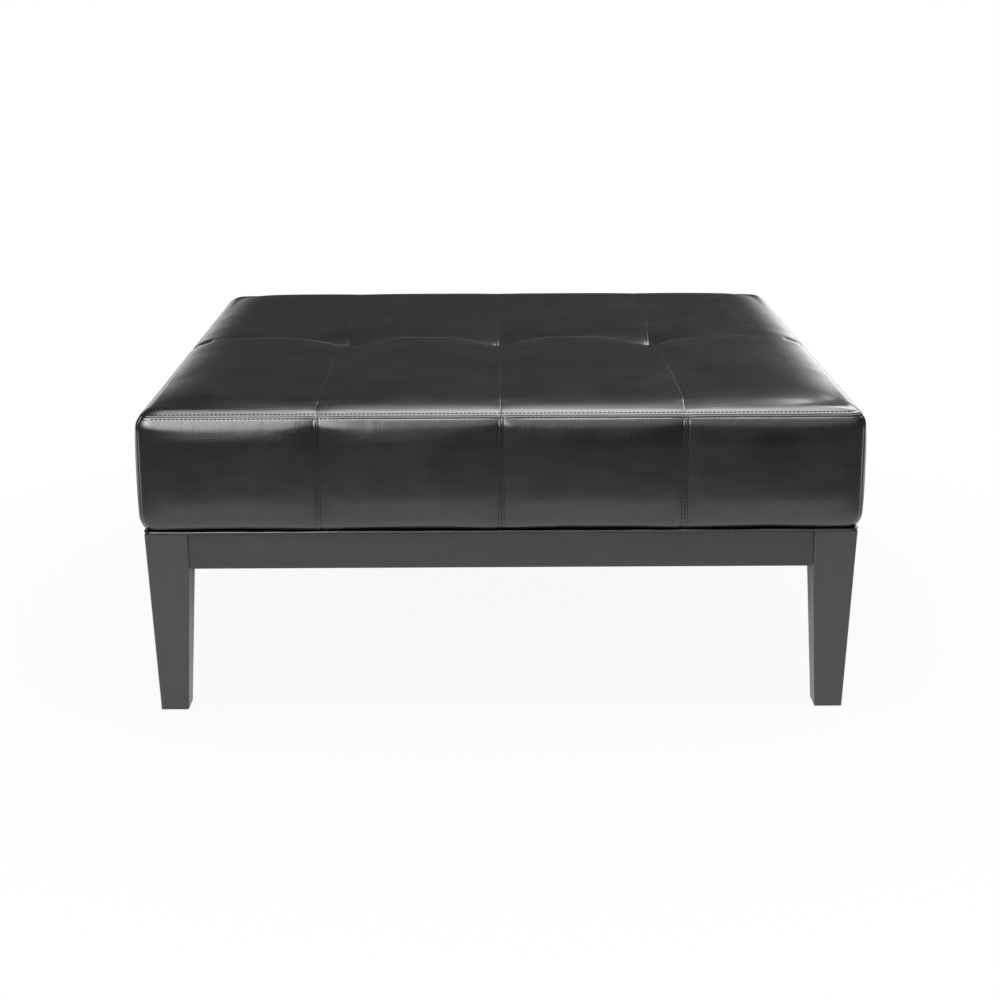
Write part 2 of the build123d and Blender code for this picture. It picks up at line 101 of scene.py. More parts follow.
# %% Camera
camera_data = bpy.data.cameras.new("view_camera")
camera_data.lens = 68.17
camera_data.sensor_width = 36
camera_data.shift_y = -0.05
camera_data.clip_end = 60
camera = bpy.data.objects.new("view_camera", camera_data)
bpy.context.scene.collection.objects.link(camera)
bpy.context.scene.camera = camera
camera_place = Vector((-15.2, -2727.8, 909.6))*MM
tilt = math.radians(13.856)
turn = math.radians(0.346)
roll = math.radians(-0.194)
forward = Vector((math.sin(turn)*math.cos(tilt), math.cos(turn)*math.cos(tilt), -math.sin(tilt)))
level_right = Vector((math.cos(turn), -math.sin(turn), 0))
level_up = level_right.cross(forward)
camera_right = math.cos(roll)*level_right + math.sin(roll)*level_up
camera_up = math.cos(roll)*level_up - math.sin(roll)*level_right
turned = Matrix((camera_right, camera_up, -forward)).transposed().to_4x4()
camera.matrix_world = Matrix.Translation(camera_place) @ turned
print("camera at", [round(v, 3) for v in camera_place])

# %% [markdown]
# ## A cage for the cushion
#
# The cushion starts as a cube that is cut into a fine, even net. A row of the net falls on each
# seam, so that later every panel can be lifted out along its own edges. A formula then carries
# the net onto the form of a boxed cushion: sides that tuck in at the bottom, a rolled upper edge,
# a low crown and a hollow at each tuft. Sculpting would be freer, but a regular net matters on
# glossy leather, because every unevenness of a mesh shows in its reflections.

# %% Cut the cube
CELLS = 28                    # cells of the net across one panel
SIDE_ROWS = 16                # rows up the side to the foot of the rolled edge
ROLL_ROWS = 3                 # rows from there to the seam
UPPER_ROWS = 1                # rows from the seam to the cube's edge
ALL_ROWS = SIDE_ROWS + ROLL_ROWS + UPPER_ROWS
ON_FACE = 0.9999              # a place this far out lies on a face of the cube


def cut_cube():
    """A cube from -1 to 1 with an even net on its faces and no bottom."""
    net = bmesh.new()
    bmesh.ops.create_cube(net, size=2)
    for axis, cells in ((0, 4*CELLS), (1, 4*CELLS), (2, ALL_ROWS)):
        along = [e for e in net.edges if abs(e.verts[0].co[axis] - e.verts[1].co[axis]) > 0.01]
        bmesh.ops.subdivide_edges(net, edges=along, cuts=cells - 1, use_grid_fill=True)
    under = [f for f in net.faces if f.normal.z < -0.5]
    bmesh.ops.delete(net, geom=under, context="FACES")
    return net


print("the net has", 4*CELLS, "cells along each side and", ALL_ROWS, "rows up")

# %% [markdown]
# The form has a side view, which gives the height and the inset for each row, and a plan, a square
# with rounded corners. The rolled edge is an arc. Below it each side panel bulges a little between
# its seams, and the side tucks in at the bottom, where the leather is pulled under the box.

# %% Sides and rolled edge
edge_roll = 22*MM             # radius of the rolled edge
corner_radius = 15*MM
corner_fade = 60*MM           # run over which the rings of the top lose their round corners
draw_in = 8.5*MM              # how far the side tucks in at the bottom
draw_height = 20*MM
draw_power = 2.6
bulge = 3*MM                  # how far a side panel stands out between its seams
bulge_power_up = 3.2
bulge_power_across = 2.6
seam_angle = math.radians(40)
edge_angle = math.radians(54)
roll_bottom = seam_height - edge_roll*math.sin(seam_angle)
roll_top = roll_bottom + edge_roll


def side_view(row):
    """Height and inset of one row of the net, counted up from the bottom."""
    if row <= SIDE_ROWS:
        rise = cover_bottom + (roll_bottom - cover_bottom)*row/SIDE_ROWS
        share = min((rise - cover_bottom)/draw_height, 1)
        return rise, draw_in*(1 - share)**draw_power
    if row <= SIDE_ROWS + ROLL_ROWS:
        angle = seam_angle*(row - SIDE_ROWS)/ROLL_ROWS
    else:
        angle = seam_angle + (edge_angle - seam_angle)*(row - SIDE_ROWS - ROLL_ROWS)/UPPER_ROWS
    return roll_bottom + edge_roll*math.sin(angle), edge_roll*(1 - math.cos(angle))


def top_view(inset):
    """Height and inset of a ring of the top, measured in from the cube's edge, before the crown."""
    if inset < edge_roll:
        angle = edge_angle + (math.pi/2 - edge_angle)*inset/edge_roll
        return roll_bottom + edge_roll*math.sin(angle), edge_roll*(1 - math.cos(angle))
    return roll_top, inset


def side_swell(share, rise):
    """How far a side panel stands out between its seams; the share runs from one seam to the next."""
    up = (rise - cover_bottom)/(seam_height - cover_bottom)
    bow = 1 - min(abs(2*up - 1), 1)**bulge_power_up
    return bulge*bow*(1 - abs(2*(share % 1) - 1)**bulge_power_across)


print("rolled edge from", round(roll_bottom, 4), "to", round(roll_top, 4))

# %% [markdown]
# The top rises quickly behind the rolled edge and then levels out into a low crown. A tuft is a
# loop of twine that pulls the leather down through the foam. It leaves a wide shallow dish with a
# steep pit in its middle, and the pit runs out along the seams, where the leather is folded.

# %% Crown and tufts
crown_start = 16*MM           # where the rise begins, measured in from the side
crown_run = 52*MM
crown_power = 2.2
crown_corner = 45*MM          # how widely the crown is rounded at the corners of the top
tuft_shift = 8*MM             # how far the outer tufts draw the seams towards the middle
dish_depth = 6*MM
dish_reach = 85*MM
pit_depth = 12*MM
pit_fold = 19*MM              # how slowly the pit rises along the seams
pit_pull = 13*MM              # and between them


def crown(place):
    """How far the top stands above its rolled edge at one place."""
    across, deep = cushion_half - abs(place.x), cushion_half - abs(place.y)
    inset = (across + deep - math.hypot(across - deep, crown_corner))/2
    share = min(max((inset - crown_start)/crown_run, 0), 1)
    return (crown_height - roll_top)*(1 - (1 - share)**crown_power)


def tuft_hollow(place):
    """How far the tufts pull one place of the top down; the seams are pulled furthest."""
    deepest = 0
    for x in seams_across:
        away = Vector((place.x - x, place.y - seam_deep))
        if away.length > dish_reach:
            continue
        ways = abs(away.x**2 - away.y**2)/max(away.length_squared, MM*MM)
        run = pit_pull + (pit_fold - pit_pull)*ways**2
        fade = 1 - (away.length/dish_reach)**2
        deepest = max(deepest, dish_depth*fade**2 + pit_depth*fade*math.exp(-away.length/run))
    return deepest


print("the crown rises", round((crown_height - roll_top)/MM, 1), "mm and a tuft goes down",
      round(tuft_hollow(Vector((seams_across[1], seam_deep)))/MM, 1), "mm")

# %% [markdown]
# Now every place on the cube is carried to its place on the cushion. The middle of each half of the
# net is slid onto its seam, each ring is laid on a rounded square, and the top gets its crown and
# its tufts. Each face keeps the number of its panel as its material index.

# %% Carry the net onto the form
def seam_warp(share):
    """Carry the middle of each half of the net onto its seam."""
    quarter = seams_across[2]/cushion_half
    if abs(share) < 0.5:
        return share*2*quarter
    return math.copysign(quarter + (abs(share) - 0.5)*2*(1 - quarter), share)


def rounded_square(along, across, half, radius):
    """A place on the unit square's edge, carried onto a square with rounded corners."""
    place = Vector((along*half, across*half))
    radius = min(radius, half)
    inner = Vector([min(max(v, radius - half), half - radius) for v in place])
    out = place - inner
    return inner + out.normalized()*radius if out.length > 0 else place


def panel_of(u, v, w):
    """The number of the panel that a cell of the cube belongs to."""
    if w > 2*(SIDE_ROWS + ROLL_ROWS)/ALL_ROWS - 1:
        return 4*int(v > 0) + sum(u > edge for edge in (-0.5, 0, 0.5))
    if abs(v) > ON_FACE:
        return 8 + 4*int(v > 0) + sum(u > edge for edge in (-0.5, 0, 0.5))
    return 16 + 2*int(u > 0) + int(v > 0)


def shape_cage():
    """The net on the form of the cushion; each face's material index holds its panel."""
    net = cut_cube()
    for face in net.faces:
        face.material_index = panel_of(*face.calc_center_median())
    for vertex in net.verts:
        u, v, w = vertex.co
        warped = Vector((seam_warp(u), seam_warp(v)))
        ring = max(abs(warped.x), abs(warped.y))
        if w > ON_FACE:
            rise, inset = top_view(cushion_half*(1 - ring))
        else:
            rise, inset = side_view((w + 1)/2*ALL_ROWS)
            inset -= side_swell((u + 1)*2 if abs(v) > ON_FACE else v + 1, rise)
        radius = corner_radius*min(max(1 - (inset - edge_roll)/corner_fade, 0), 1)
        plan = Vector((0, 0))
        if ring > 0:
            plan = rounded_square(warped.x/ring, warped.y/ring, cushion_half - inset, radius)
        vertex.co = (plan.x, plan.y, rise)
        if w > ON_FACE:
            vertex.co.z += crown(vertex.co) - tuft_hollow(vertex.co)
    bmesh.ops.recalc_face_normals(net, faces=net.faces)
    return net


cage = shape_cage()
print("net of the cushion:", len(cage.verts), "points,", len(cage.faces), "cells")

# %% [markdown]
# ## Swelling the leather
#
# A real cover is sewn a little loose, and the foam presses it tight. The cloth simulation does the
# same: the net is cut about one percent larger than the form, air pressure fills it, and the seams,
# the tufts and the bottom edge are held. What is left over gathers at the seams as it does in real
# leather. The first cell says what is held and how much of the swelling each place may keep.

# %% What holds the leather
seam_hold = 0.55              # how firmly the seams are held
tuft_reach = 40*MM            # a tuft holds less and less out to here
tuft_hold = 9*MM              # and fully within this
belt = 6*MM                   # how far below the seam a tuft's hold still counts
share_on_sides = 0.75         # share of the swelling that the sides keep
loss_on_roll = 0.4            # what the rolled edge and the top lose of it
loss_on_top = 0.1             # and what the top loses besides
top_start, top_run = 4*MM, 30*MM
roll_lead, roll_run = 10*MM, 15*MM


def held_points(net):
    """How firmly each point is held: tufts and bottom edge fully, seams partly, panels not."""
    weights = []
    for vertex in net.verts:
        place = vertex.co
        weight = 0.0
        panels = {face.material_index for face in vertex.link_faces}
        if len(panels) > 1:
            weight = seam_hold
        nearest = min((place.xy - Vector((x, seam_deep))).length for x in seams_across)
        if nearest < tuft_reach and place.z > seam_height - belt:
            weight = max(weight, 1 - nearest/tuft_reach)
        if nearest < tuft_hold:
            weight = 1.0
        if place.z < cover_bottom + MM:
            weight = 1.0
        weights.append(weight)
    return weights


def firmness(place):
    """The share of the swelling that is kept: less on the top, where the foam is firm and flat."""
    inset = cushion_half - max(abs(place.x), abs(place.y))
    on_top = min(max((inset - top_start)/top_run, 0), 1)
    rolled = min(max((place.z - roll_bottom + roll_lead)/roll_run, 0), 1)
    return share_on_sides - loss_on_roll*max(rolled, on_top) - loss_on_top*on_top


weights = held_points(cage)
print("points held fully:", weights.count(1.0), "and partly:", sum(0 < weight < 1 for weight in weights))

# %% [markdown]
# The simulation runs for twenty frames. What each point moved is scaled by the share that it may
# keep and evened out with its neighbours, most of all on the firm top, so that no sharp fold stands
# there. No point may move further than three millimetres, so the cushion keeps its size.

# %% Simulate the cushion
FRAMES = 20
CALM_PASSES = 10
calm_least = 0.4              # how much of its neighbours' moves a point takes on the sides
calm_gain = 1.2               # how much more it takes for each share of the swelling that it loses
calm_most = 0.9


def calm(mesh, moves):
    """Even out the moves where the foam is firm, so that no sharp fold stands there."""
    near = [[] for vertex in mesh.vertices]
    for edge in mesh.edges:
        first, second = edge.vertices
        near[first].append(second)
        near[second].append(first)
    shares = [min(calm_least + calm_gain*(share_on_sides - firmness(vertex.co)), calm_most)
              for vertex in mesh.vertices]
    for _ in range(CALM_PASSES):
        means = [sum((moves[k] for k in others), Vector())/len(others) for others in near]
        moves = [move.lerp(mean, share) for move, mean, share in zip(moves, means, shares)]
    return moves


def swell(name, net, weights, pressure=3.0, spare=0.008, limit=3*MM):
    """Fill the net with pressure and return the swollen mesh, with no simulation left on it."""
    mesh = bpy.data.meshes.new(name)
    net.to_mesh(mesh)
    piece = bpy.data.objects.new(name, mesh)
    bpy.context.scene.collection.objects.link(piece)
    start = [vertex.co.copy() for vertex in mesh.vertices]
    for vertex in mesh.vertices:
        vertex.co += noise.noise_vector(vertex.co*60)*0.2*MM
    held = piece.vertex_groups.new(name="held")
    for index, weight in enumerate(weights):
        if weight > 0:
            held.add([index], weight, "REPLACE")
    cloth = piece.modifiers.new("cloth", "CLOTH")
    settings = cloth.settings
    settings.quality = 5
    settings.mass = 0.3
    settings.tension_stiffness = 15
    settings.compression_stiffness = 15
    settings.shear_stiffness = 5
    settings.bending_stiffness = 0.6
    settings.use_pressure = True
    settings.uniform_pressure_force = pressure
    settings.shrink_min = -spare
    settings.effector_weights.gravity = 0
    settings.vertex_group_mass = "held"
    cloth.collision_settings.use_collision = False
    for number in range(1, FRAMES + 1):
        bpy.context.scene.frame_set(number)
    graph = bpy.context.evaluated_depsgraph_get()
    swollen = [vertex.co.copy() for vertex in piece.evaluated_get(graph).data.vertices]
    piece.modifiers.remove(cloth)
    bpy.context.scene.frame_set(1)
    moves = [(after - before)*firmness(before) for before, after in zip(start, swollen)]
    for vertex, before in zip(mesh.vertices, start):
        vertex.co = before
    moves = calm(mesh, moves)
    for vertex, before, move in zip(mesh.vertices, start, moves):
        vertex.co = before + move.normalized()*min(move.length, limit)
    moved = sorted(move.length for move in moves)
    print("before the limit, half of the points moved over", round(moved[len(moved)//2]/MM, 2),
          "mm, the most", round(moved[-1]/MM, 2), "mm")
    smooth = piece.modifiers.new("smooth", "SUBSURF")
    smooth.levels = 1
    smooth.render_levels = 1
    graph = bpy.context.evaluated_depsgraph_get()
    result = bpy.data.meshes.new_from_object(piece.evaluated_get(graph))
    bpy.data.objects.remove(piece)
    return result


cover_surface = swell("cover_surface", cage, weights)
print("surface of the cushion:", len(cover_surface.polygons), "cells")

# %% [markdown]
# ## Panels and seams
#
# A sewn seam has a shape of its own. The two edges turn down into a narrow groove, the folded
# leather under them makes a low ridge on each side, and the row of stitches pulls a fine line into
# that ridge. A bump map would look flat in the long reflections of glossy leather, so this shape is
# modelled. Its profile is a sum of soft bumps, each with its height, its middle and its width.

# %% Profile of a seam
stitch_line = 3.4*MM          # from a seam to its rows of stitches
leather = 1.2*MM              # thickness of the leather


def bell(distance, middle, width):
    """A soft bump of height one at the middle."""
    return math.exp(-((distance - middle)/width)**2)


def seam_depth(distance):
    """How far the leather lies below its panel at one distance from a seam with stitched edges."""
    groove = 0.35*MM*bell(distance, 0, 0.4*MM)
    ridge = 0.35*MM*bell(distance, 1.2*MM, 1.1*MM)
    stitched = 0.25*MM*bell(distance, stitch_line, 0.9*MM)
    valley = 0.3*MM*bell(distance, 0, 9*MM)
    return groove - ridge + stitched + valley


def plain_seam_depth(distance):
    """The same for the seams of the top, which have no stitches beside them."""
    return 0.45*MM*bell(distance, 0, 0.5*MM) + 0.15*MM*bell(distance, 0, 5*MM)


print("a stitched seam lies", [round(seam_depth(k*MM)/MM, 2) for k in range(6)], "mm deep, 1 mm apart")

# %% [markdown]
# Leather that is sewn and pulled doesn't lie smooth. Fine folds hang from the seam round the top,
# pleats stand at the bottom corners, the ends of the top seams pull dips into the rolled edge, and
# the outer tufts draw the leather towards the middle.

# %% Folds and pulls
edge_zone = cushion_half - 1.5*edge_roll
fold_height = 0.14*MM
fold_top, fold_run = 3*MM, 50*MM
pleat_height = 1.6*MM
pleat_run, pleat_reach = 26*MM, 70*MM
dip_run = 22*MM               # how far below the rolled edge a dip fades
cross_dip, cross_dip_width = 1.4*MM, 13*MM
seam_dip, seam_dip_width = 0.7*MM, 12*MM
shift_width, shift_depth = 75*MM, 110*MM


def gather(place):
    """Fine folds that hang from the seam round the top, and pleats at the bottom corners."""
    outer = max(abs(place.x), abs(place.y))
    if outer < edge_zone:
        return 0
    below = (seam_height - fold_top - place.z)/fold_run
    fold = 0
    if 0 < below < 1:
        fold = fold_height*(1 - below)**1.5*noise.noise(Vector((place.x*115, place.y*115, place.z*12)))
    low = 1 - (place.z - cover_bottom)/pleat_run
    corner = 1 - (2*cushion_half - abs(place.x) - abs(place.y))/pleat_reach
    if low > 0 and corner > 0:
        fold += pleat_height*low*corner*noise.noise(Vector((place.x*85, place.y*85, place.z*30)))
    return fold


def end_pull(place, across, deep):
    """How far the ends of the top seams pull the rolled edge in."""
    if max(abs(place.x), abs(place.y)) < edge_zone:
        return 0
    rolled = min(max((place.z - roll_bottom + dip_run)/dip_run, 0), 1)
    return rolled*(cross_dip*bell(deep, 0, cross_dip_width) + seam_dip*bell(across, 0, seam_dip_width))


def drawn_in(place):
    """How far the outer tufts draw one place of the top towards the middle."""
    if abs(place.x) > edge_zone or abs(place.y) > edge_zone or abs(place.x) < MM:
        return 0
    near = bell(abs(place.x), seams_across[2], shift_width)*bell(place.y, seam_deep, shift_depth)
    return -math.copysign(tuft_shift*near, place.x)


tuft_place = Vector((seams_across[2], seam_deep, crown_height))
print("an outer tuft is drawn in by", round(-drawn_in(tuft_place)/MM, 1), "mm")

# %% [markdown]
# The whole surface gets closely spaced cuts along its seams, so that it has points enough for the
# profile, and the points are then lowered or raised by their distance from the nearest seam. The
# cross seam of the top lies nearly closed, and stands open only over its left end.

# %% Press the seams in
seam_cuts = [0.5*MM, 1.1*MM, 1.8*MM, 2.6*MM, 3.4*MM, 4.3*MM, 5.6*MM, 8.0*MM]
seam_reach = 14*MM
seam_slope = math.cos(seam_angle)
upper_slope = 0.72            # the same above the seam, where the rolled edge lies flatter
FAR_AWAY = 1.0                # the distance given where no seam is near
closed_share = 0.2            # how much of the profile the cross seam shows on the top
open_share = 1.3              # and at its left end and down the sides


def seam_distances(place):
    """Distances along the leather from a place to the seams across, deep and round the top."""
    outer = max(abs(place.x), abs(place.y))
    across = min(abs(place.x - x) for x in seams_across)
    deep = abs(place.y - seam_deep)
    above = place.z - seam_height
    edge = abs(above)/(seam_slope if above < 0 else upper_slope) if outer > edge_zone else FAR_AWAY
    return across, deep, edge


def beside_seam(net, axis, middle, edge_only):
    """The cells within reach of a seam's plane, with their edges and points."""
    cells = []
    for face in net.faces:
        place = face.calc_center_median()
        wanted = not edge_only or max(abs(place.x), abs(place.y)) > edge_zone
        if wanted and abs(place[axis] - middle) < seam_reach:
            cells.append(face)
    edges = {edge for face in cells for edge in face.edges}
    points = {vertex for face in cells for vertex in face.verts}
    return cells + list(edges) + list(points)


def sew(surface):
    """Closely spaced cuts along every seam of the surface, then the seams pressed in."""
    net = bmesh.new()
    net.from_mesh(surface)
    planes = [(0, x, False, 1) for x in seams_across]
    planes += [(1, seam_deep, False, 1), (2, seam_height, True, seam_slope)]
    for axis, middle, edge_only, slope in planes:
        parts = beside_seam(net, axis, middle, edge_only)
        away = Vector([float(axis == k) for k in range(3)])
        for distance in [side*cut*slope for cut in seam_cuts for side in (-1, 1)]:
            parts = bmesh.ops.bisect_plane(net, geom=parts, dist=0.05*MM, plane_no=away,
                                           plane_co=away*(middle + distance))["geom"]
    net.normal_update()
    moves = []
    for vertex in net.verts:
        across, deep, edge = seam_distances(vertex.co)
        on_top = vertex.co.z > seam_height or edge == FAR_AWAY
        shape = plain_seam_depth if on_top else seam_depth
        share = closed_share if on_top and vertex.co.x > seams_across[0] else open_share
        depth = max(shape(across), shape(deep)*share, seam_depth(edge), key=abs)
        depth += gather(vertex.co) + end_pull(vertex.co, across, deep)
        moves.append((vertex, vertex.normal*depth))
    for vertex, move in moves:
        vertex.co -= move
        vertex.co.x += drawn_in(vertex.co)
    for face in net.faces:
        face.smooth = True
    sewn = bpy.data.meshes.new("sewn_surface")
    net.to_mesh(sewn)
    net.free()
    return sewn


sewn_surface = sew(cover_surface)
print("sewn surface:", len(sewn_surface.polygons), "cells")

# %% [markdown]
# Every panel is then lifted out of the sewn surface by its number and gets the thickness of the
# leather. The thickness goes in along the normals of the whole surface, so that neighbours still
# meet along their edges and nothing opens between them.

# %% Panels
panel_names = [f"cover_top_row{row}_panel{k}" for row in (1, 2) for k in (1, 2, 3, 4)]
panel_names += [f"cover_{side}_panel{k}" for side in ("front", "back") for k in (1, 2, 3, 4)]
panel_names += [f"cover_{side}_panel{k}" for side in ("left", "right") for k in (1, 2)]


def make_panel(number, name):
    """One leather panel with its thickness."""
    net = bmesh.new()
    net.from_mesh(sewn_surface)
    net.normal_update()
    inward = net.verts.layers.float_vector.new("inward")
    for vertex in net.verts:
        vertex[inward] = -vertex.normal*leather
    others = [face for face in net.faces if face.material_index != number]
    bmesh.ops.delete(net, geom=others, context="FACES")
    for face in net.faces:
        face.material_index = 0
    made = bmesh.ops.extrude_face_region(net, geom=net.faces[:], use_keep_orig=True)["geom"]
    for vertex in made:
        if isinstance(vertex, bmesh.types.BMVert):
            vertex.co += vertex[inward]
    net.verts.layers.float_vector.remove(inward)
    bmesh.ops.recalc_face_normals(net, faces=net.faces)
    mesh = bpy.data.meshes.new(name + "_leather")
    net.to_mesh(mesh)
    net.free()
    piece = bpy.data.objects.new(name + "_leather", mesh)
    bpy.context.scene.collection.objects.link(piece)
    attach(piece, "root")
    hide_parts(name)
    return piece


panels = [make_panel(number, name) for number, name in enumerate(panel_names)]
print("panels:", len(panels), "with", sum(len(p.data.polygons) for p in panels), "faces")

# %% [markdown]
# ## Stitches
#
# Two rows of black thread run beside the seam round the top and beside each upright seam, 3.4
# millimetres from it on either side, with a stitch every five millimetres. The seams across the top
# are plain. Each stitch is a small bead pressed into the leather. There are well over a thousand, so
# a bead has only a few faces.

# %% One stitch
stitch_pitch = 5.2*MM
stitch_size = Vector((1.9, 0.72, 0.4))*MM
stitch_mesh = bpy.data.meshes.new("stitch")
net = bmesh.new()
bmesh.ops.create_uvsphere(net, u_segments=6, v_segments=5, radius=1,
                          matrix=Matrix.Diagonal(stitch_size).to_4x4() @ Matrix.Rotation(math.pi/2, 4, "Y"))
for face in net.faces:
    face.smooth = True
net.to_mesh(stitch_mesh)
net.free()
stitch = bpy.data.objects.new("stitch", stitch_mesh)
print("one stitch has", len(stitch_mesh.polygons), "faces")

# %% [markdown]
# The place of each stitch is found with a ray that is cast onto the finished panels, so that the
# rows follow every swell. The places before and after it give the way that the stitch points, and
# the leather that the ray meets gives the way that it faces.

# %% Rows of stitches
side_row_low = 3*MM           # from the bottom edge of the leather to the lowest stitch of a side row
side_row_top = 6*MM           # from the seam round the top down to the highest
net = bmesh.new()
for panel in panels:
    net.from_mesh(panel.data)
leather_tree = BVHTree.FromBMesh(net)
net.free()


def stops(start, end):
    """Places one stitch apart between two ends."""
    count = int(abs(end - start)/stitch_pitch)
    return [start + (end - start)*(k + 0.5)/count for k in range(count)]


def row_places(starts, direction):
    """Where rays from the starts meet the leather: a place, the row's way and the leather's normal."""
    hits = [leather_tree.ray_cast(start, direction)[:2] for start in starts]
    places = []
    for before, (place, normal), after in zip(hits, hits[1:], hits[2:]):
        if None not in (before[0], place, after[0]):
            along = (after[0] - before[0]).normalized()
            places.append((place, along, normal))
    return places


def edge_rows():
    """The two rows round the top edge, cast level from each side."""
    rows = []
    reach = cushion_half - corner_radius
    for rise in (seam_height + upper_slope*stitch_line, seam_height - seam_slope*stitch_line):
        for turn in range(4):
            facing = Matrix.Rotation(turn*math.pi/2, 3, "Z")
            starts = [facing @ Vector((along, -1, rise)) for along in stops(-reach, reach)]
            rows.append((starts, facing @ Vector((0, 1, 0))))
    return rows


def side_rows():
    """The rows down the seams between the side panels."""
    rows = []
    low, high = cover_bottom + side_row_low, seam_height - side_row_top
    for turn in range(4):
        facing = Matrix.Rotation(turn*math.pi/2, 3, "Z")
        for seam in seams_across if turn % 2 == 0 else [seam_deep]:
            for side in (-1, 1):
                starts = [facing @ Vector((seam + side*stitch_line, -1, z)) for z in stops(low, high)]
                rows.append((starts, facing @ Vector((0, 1, 0))))
    return rows


edge_lines, side_lines = edge_rows(), side_rows()
print("rows of stitches:", len(edge_lines), "round the top and", len(side_lines), "down the sides")

# %% [markdown]
# Geometry Nodes put one bead on each point. Every point carries its two directions as attributes,
# and the beads are turned by them. The result is made a plain mesh at once, so nothing live is left.

# %% Sew the thread
def sewing_nodes():
    """Nodes that put one stitch on each point, turned by the two directions that the point carries."""
    tree = bpy.data.node_groups.new("sewing", "GeometryNodeTree")
    tree.interface.new_socket(name="Geometry", in_out="INPUT", socket_type="NodeSocketGeometry")
    tree.interface.new_socket(name="Geometry", in_out="OUTPUT", socket_type="NodeSocketGeometry")
    start, end = tree.nodes.new("NodeGroupInput"), tree.nodes.new("NodeGroupOutput")
    beads = tree.nodes.new("GeometryNodeInstanceOnPoints")
    bead = tree.nodes.new("GeometryNodeObjectInfo")
    bead.inputs["Object"].default_value = stitch
    axes = tree.nodes.new("FunctionNodeAxesToRotation")
    axes.primary_axis, axes.secondary_axis = "X", "Z"
    for label, socket in (("along", axes.inputs[0]), ("outward", axes.inputs[1])):
        named = tree.nodes.new("GeometryNodeInputNamedAttribute")
        named.data_type = "FLOAT_VECTOR"
        named.inputs["Name"].default_value = label
        tree.links.new(named.outputs["Attribute"], socket)
    solid = tree.nodes.new("GeometryNodeRealizeInstances")
    tree.links.new(start.outputs[0], beads.inputs["Points"])
    tree.links.new(bead.outputs["Geometry"], beads.inputs["Instance"])
    tree.links.new(axes.outputs[0], beads.inputs["Rotation"])
    tree.links.new(beads.outputs[0], solid.inputs[0])
    tree.links.new(solid.outputs[0], end.inputs[0])
    return tree


sewing = sewing_nodes()


def make_thread(name, rows):
    """One piece of thread that holds several rows of stitches."""
    places = [place for starts, direction in rows for place in row_places(starts, direction)]
    net = bmesh.new()
    ways = [net.verts.layers.float_vector.new(label) for label in ("along", "outward")]
    for place, along, outward in places:
        point = net.verts.new(place)
        point[ways[0]] = along
        point[ways[1]] = outward
    points = bpy.data.meshes.new(name + "_points")
    net.to_mesh(points)
    net.free()
    piece = bpy.data.objects.new(name, points)
    bpy.context.scene.collection.objects.link(piece)
    piece.modifiers.new("sew", "NODES").node_group = sewing
    graph = bpy.context.evaluated_depsgraph_get()
    mesh = bpy.data.meshes.new_from_object(piece.evaluated_get(graph))
    piece.modifiers.clear()
    piece.data = mesh
    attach(piece, "root")
    print(name, "has", len(places), "stitches and", len(mesh.polygons), "faces")
    return piece


threads = [make_thread("thread_edge", edge_lines), make_thread("thread_sides", side_lines)]

# %% [markdown]
# ## The hem
#
# Under the box the leather is folded once and stapled, and its edge shows as a thin glossy rim
# over the aprons. It is a flat oval spun round the table and carried onto a rounded square. A
# slight waviness is what tells it from a rigid strip.

# %% Hem
HEM_STEPS = 480
hem_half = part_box("cover_hem")[1].x
hem_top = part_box("cover_hem")[1].z
hem_reach = 6*MM              # how wide the fold is
hem_corner = 8*MM
hem_lift = 0.5*MM             # the fold is pressed up against the leather above it
hem_fullness = 1.2            # how much thicker it is than the flat fold of the frame
hem_unevenness = 0.2
wave_in, wave_up = 0.5*MM, 0.6*MM


def make_hem():
    """The folded hem as one closed ring."""
    net = bmesh.new()
    profile = bmesh.ops.create_circle(net, segments=12, radius=1, cap_ends=False,
                                      matrix=Matrix.Rotation(math.pi/2, 4, "X"))
    for vertex in profile["verts"]:
        vertex.co = (1 + vertex.co.x*hem_reach/2, 0, vertex.co.z*(hem_top - hem_bottom)/2)
    edges = list(net.edges)
    bmesh.ops.spin(net, geom=profile["verts"] + edges, cent=(0, 0, 0), axis=(0, 0, 1), dvec=(0, 0, 0),
                   angle=2*math.pi, steps=HEM_STEPS, use_merge=True, use_duplicate=False)
    middle = hem_half - hem_reach/2
    for vertex in net.verts:
        angle = math.atan2(vertex.co.y, vertex.co.x)
        out = vertex.co.xy.length - 1
        way = Vector((math.cos(angle), math.sin(angle)))
        way /= max(abs(way.x), abs(way.y))
        plan = rounded_square(way.x, way.y, middle + out, hem_corner + out)
        wave = noise.noise(Vector((plan.x*22, plan.y*22, 3.0)))
        fine = noise.noise(Vector((plan.x*90, plan.y*90, 7.0)))
        plan *= 1 + (wave_in*wave)/hem_half
        thickness = vertex.co.z*(hem_fullness + hem_unevenness*fine)
        rise = (hem_top + hem_bottom)/2 + hem_lift + thickness + wave_up*wave
        vertex.co = (plan.x, plan.y, rise)
    bmesh.ops.recalc_face_normals(net, faces=net.faces)
    for face in net.faces:
        face.smooth = True
    mesh = bpy.data.meshes.new("hem_leather")
    net.to_mesh(mesh)
    net.free()
    piece = bpy.data.objects.new("hem_leather", mesh)
    bpy.context.scene.collection.objects.link(piece)
    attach(piece, "root")
    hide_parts("cover_hem")
    return piece


hem = make_hem()
print("hem:", len(hem.data.polygons), "faces")

# %% [markdown]
# ## Foam
#
# The foam never shows, but it is there when the cover is lifted off. Each block is remade from a
# copy of its solid: the loose triangles are merged, remeshed evenly and eased at the edges. It is a
# little smaller than the solid and follows the tufts, so that it nowhere comes through the leather.

# %% Foam blocks
foam_cell = 7*MM
leather_room = 3.5*MM         # what the foam stays back, for the leather and its seams
pit_share = 0.15              # how much deeper the foam's pits are than the solid's


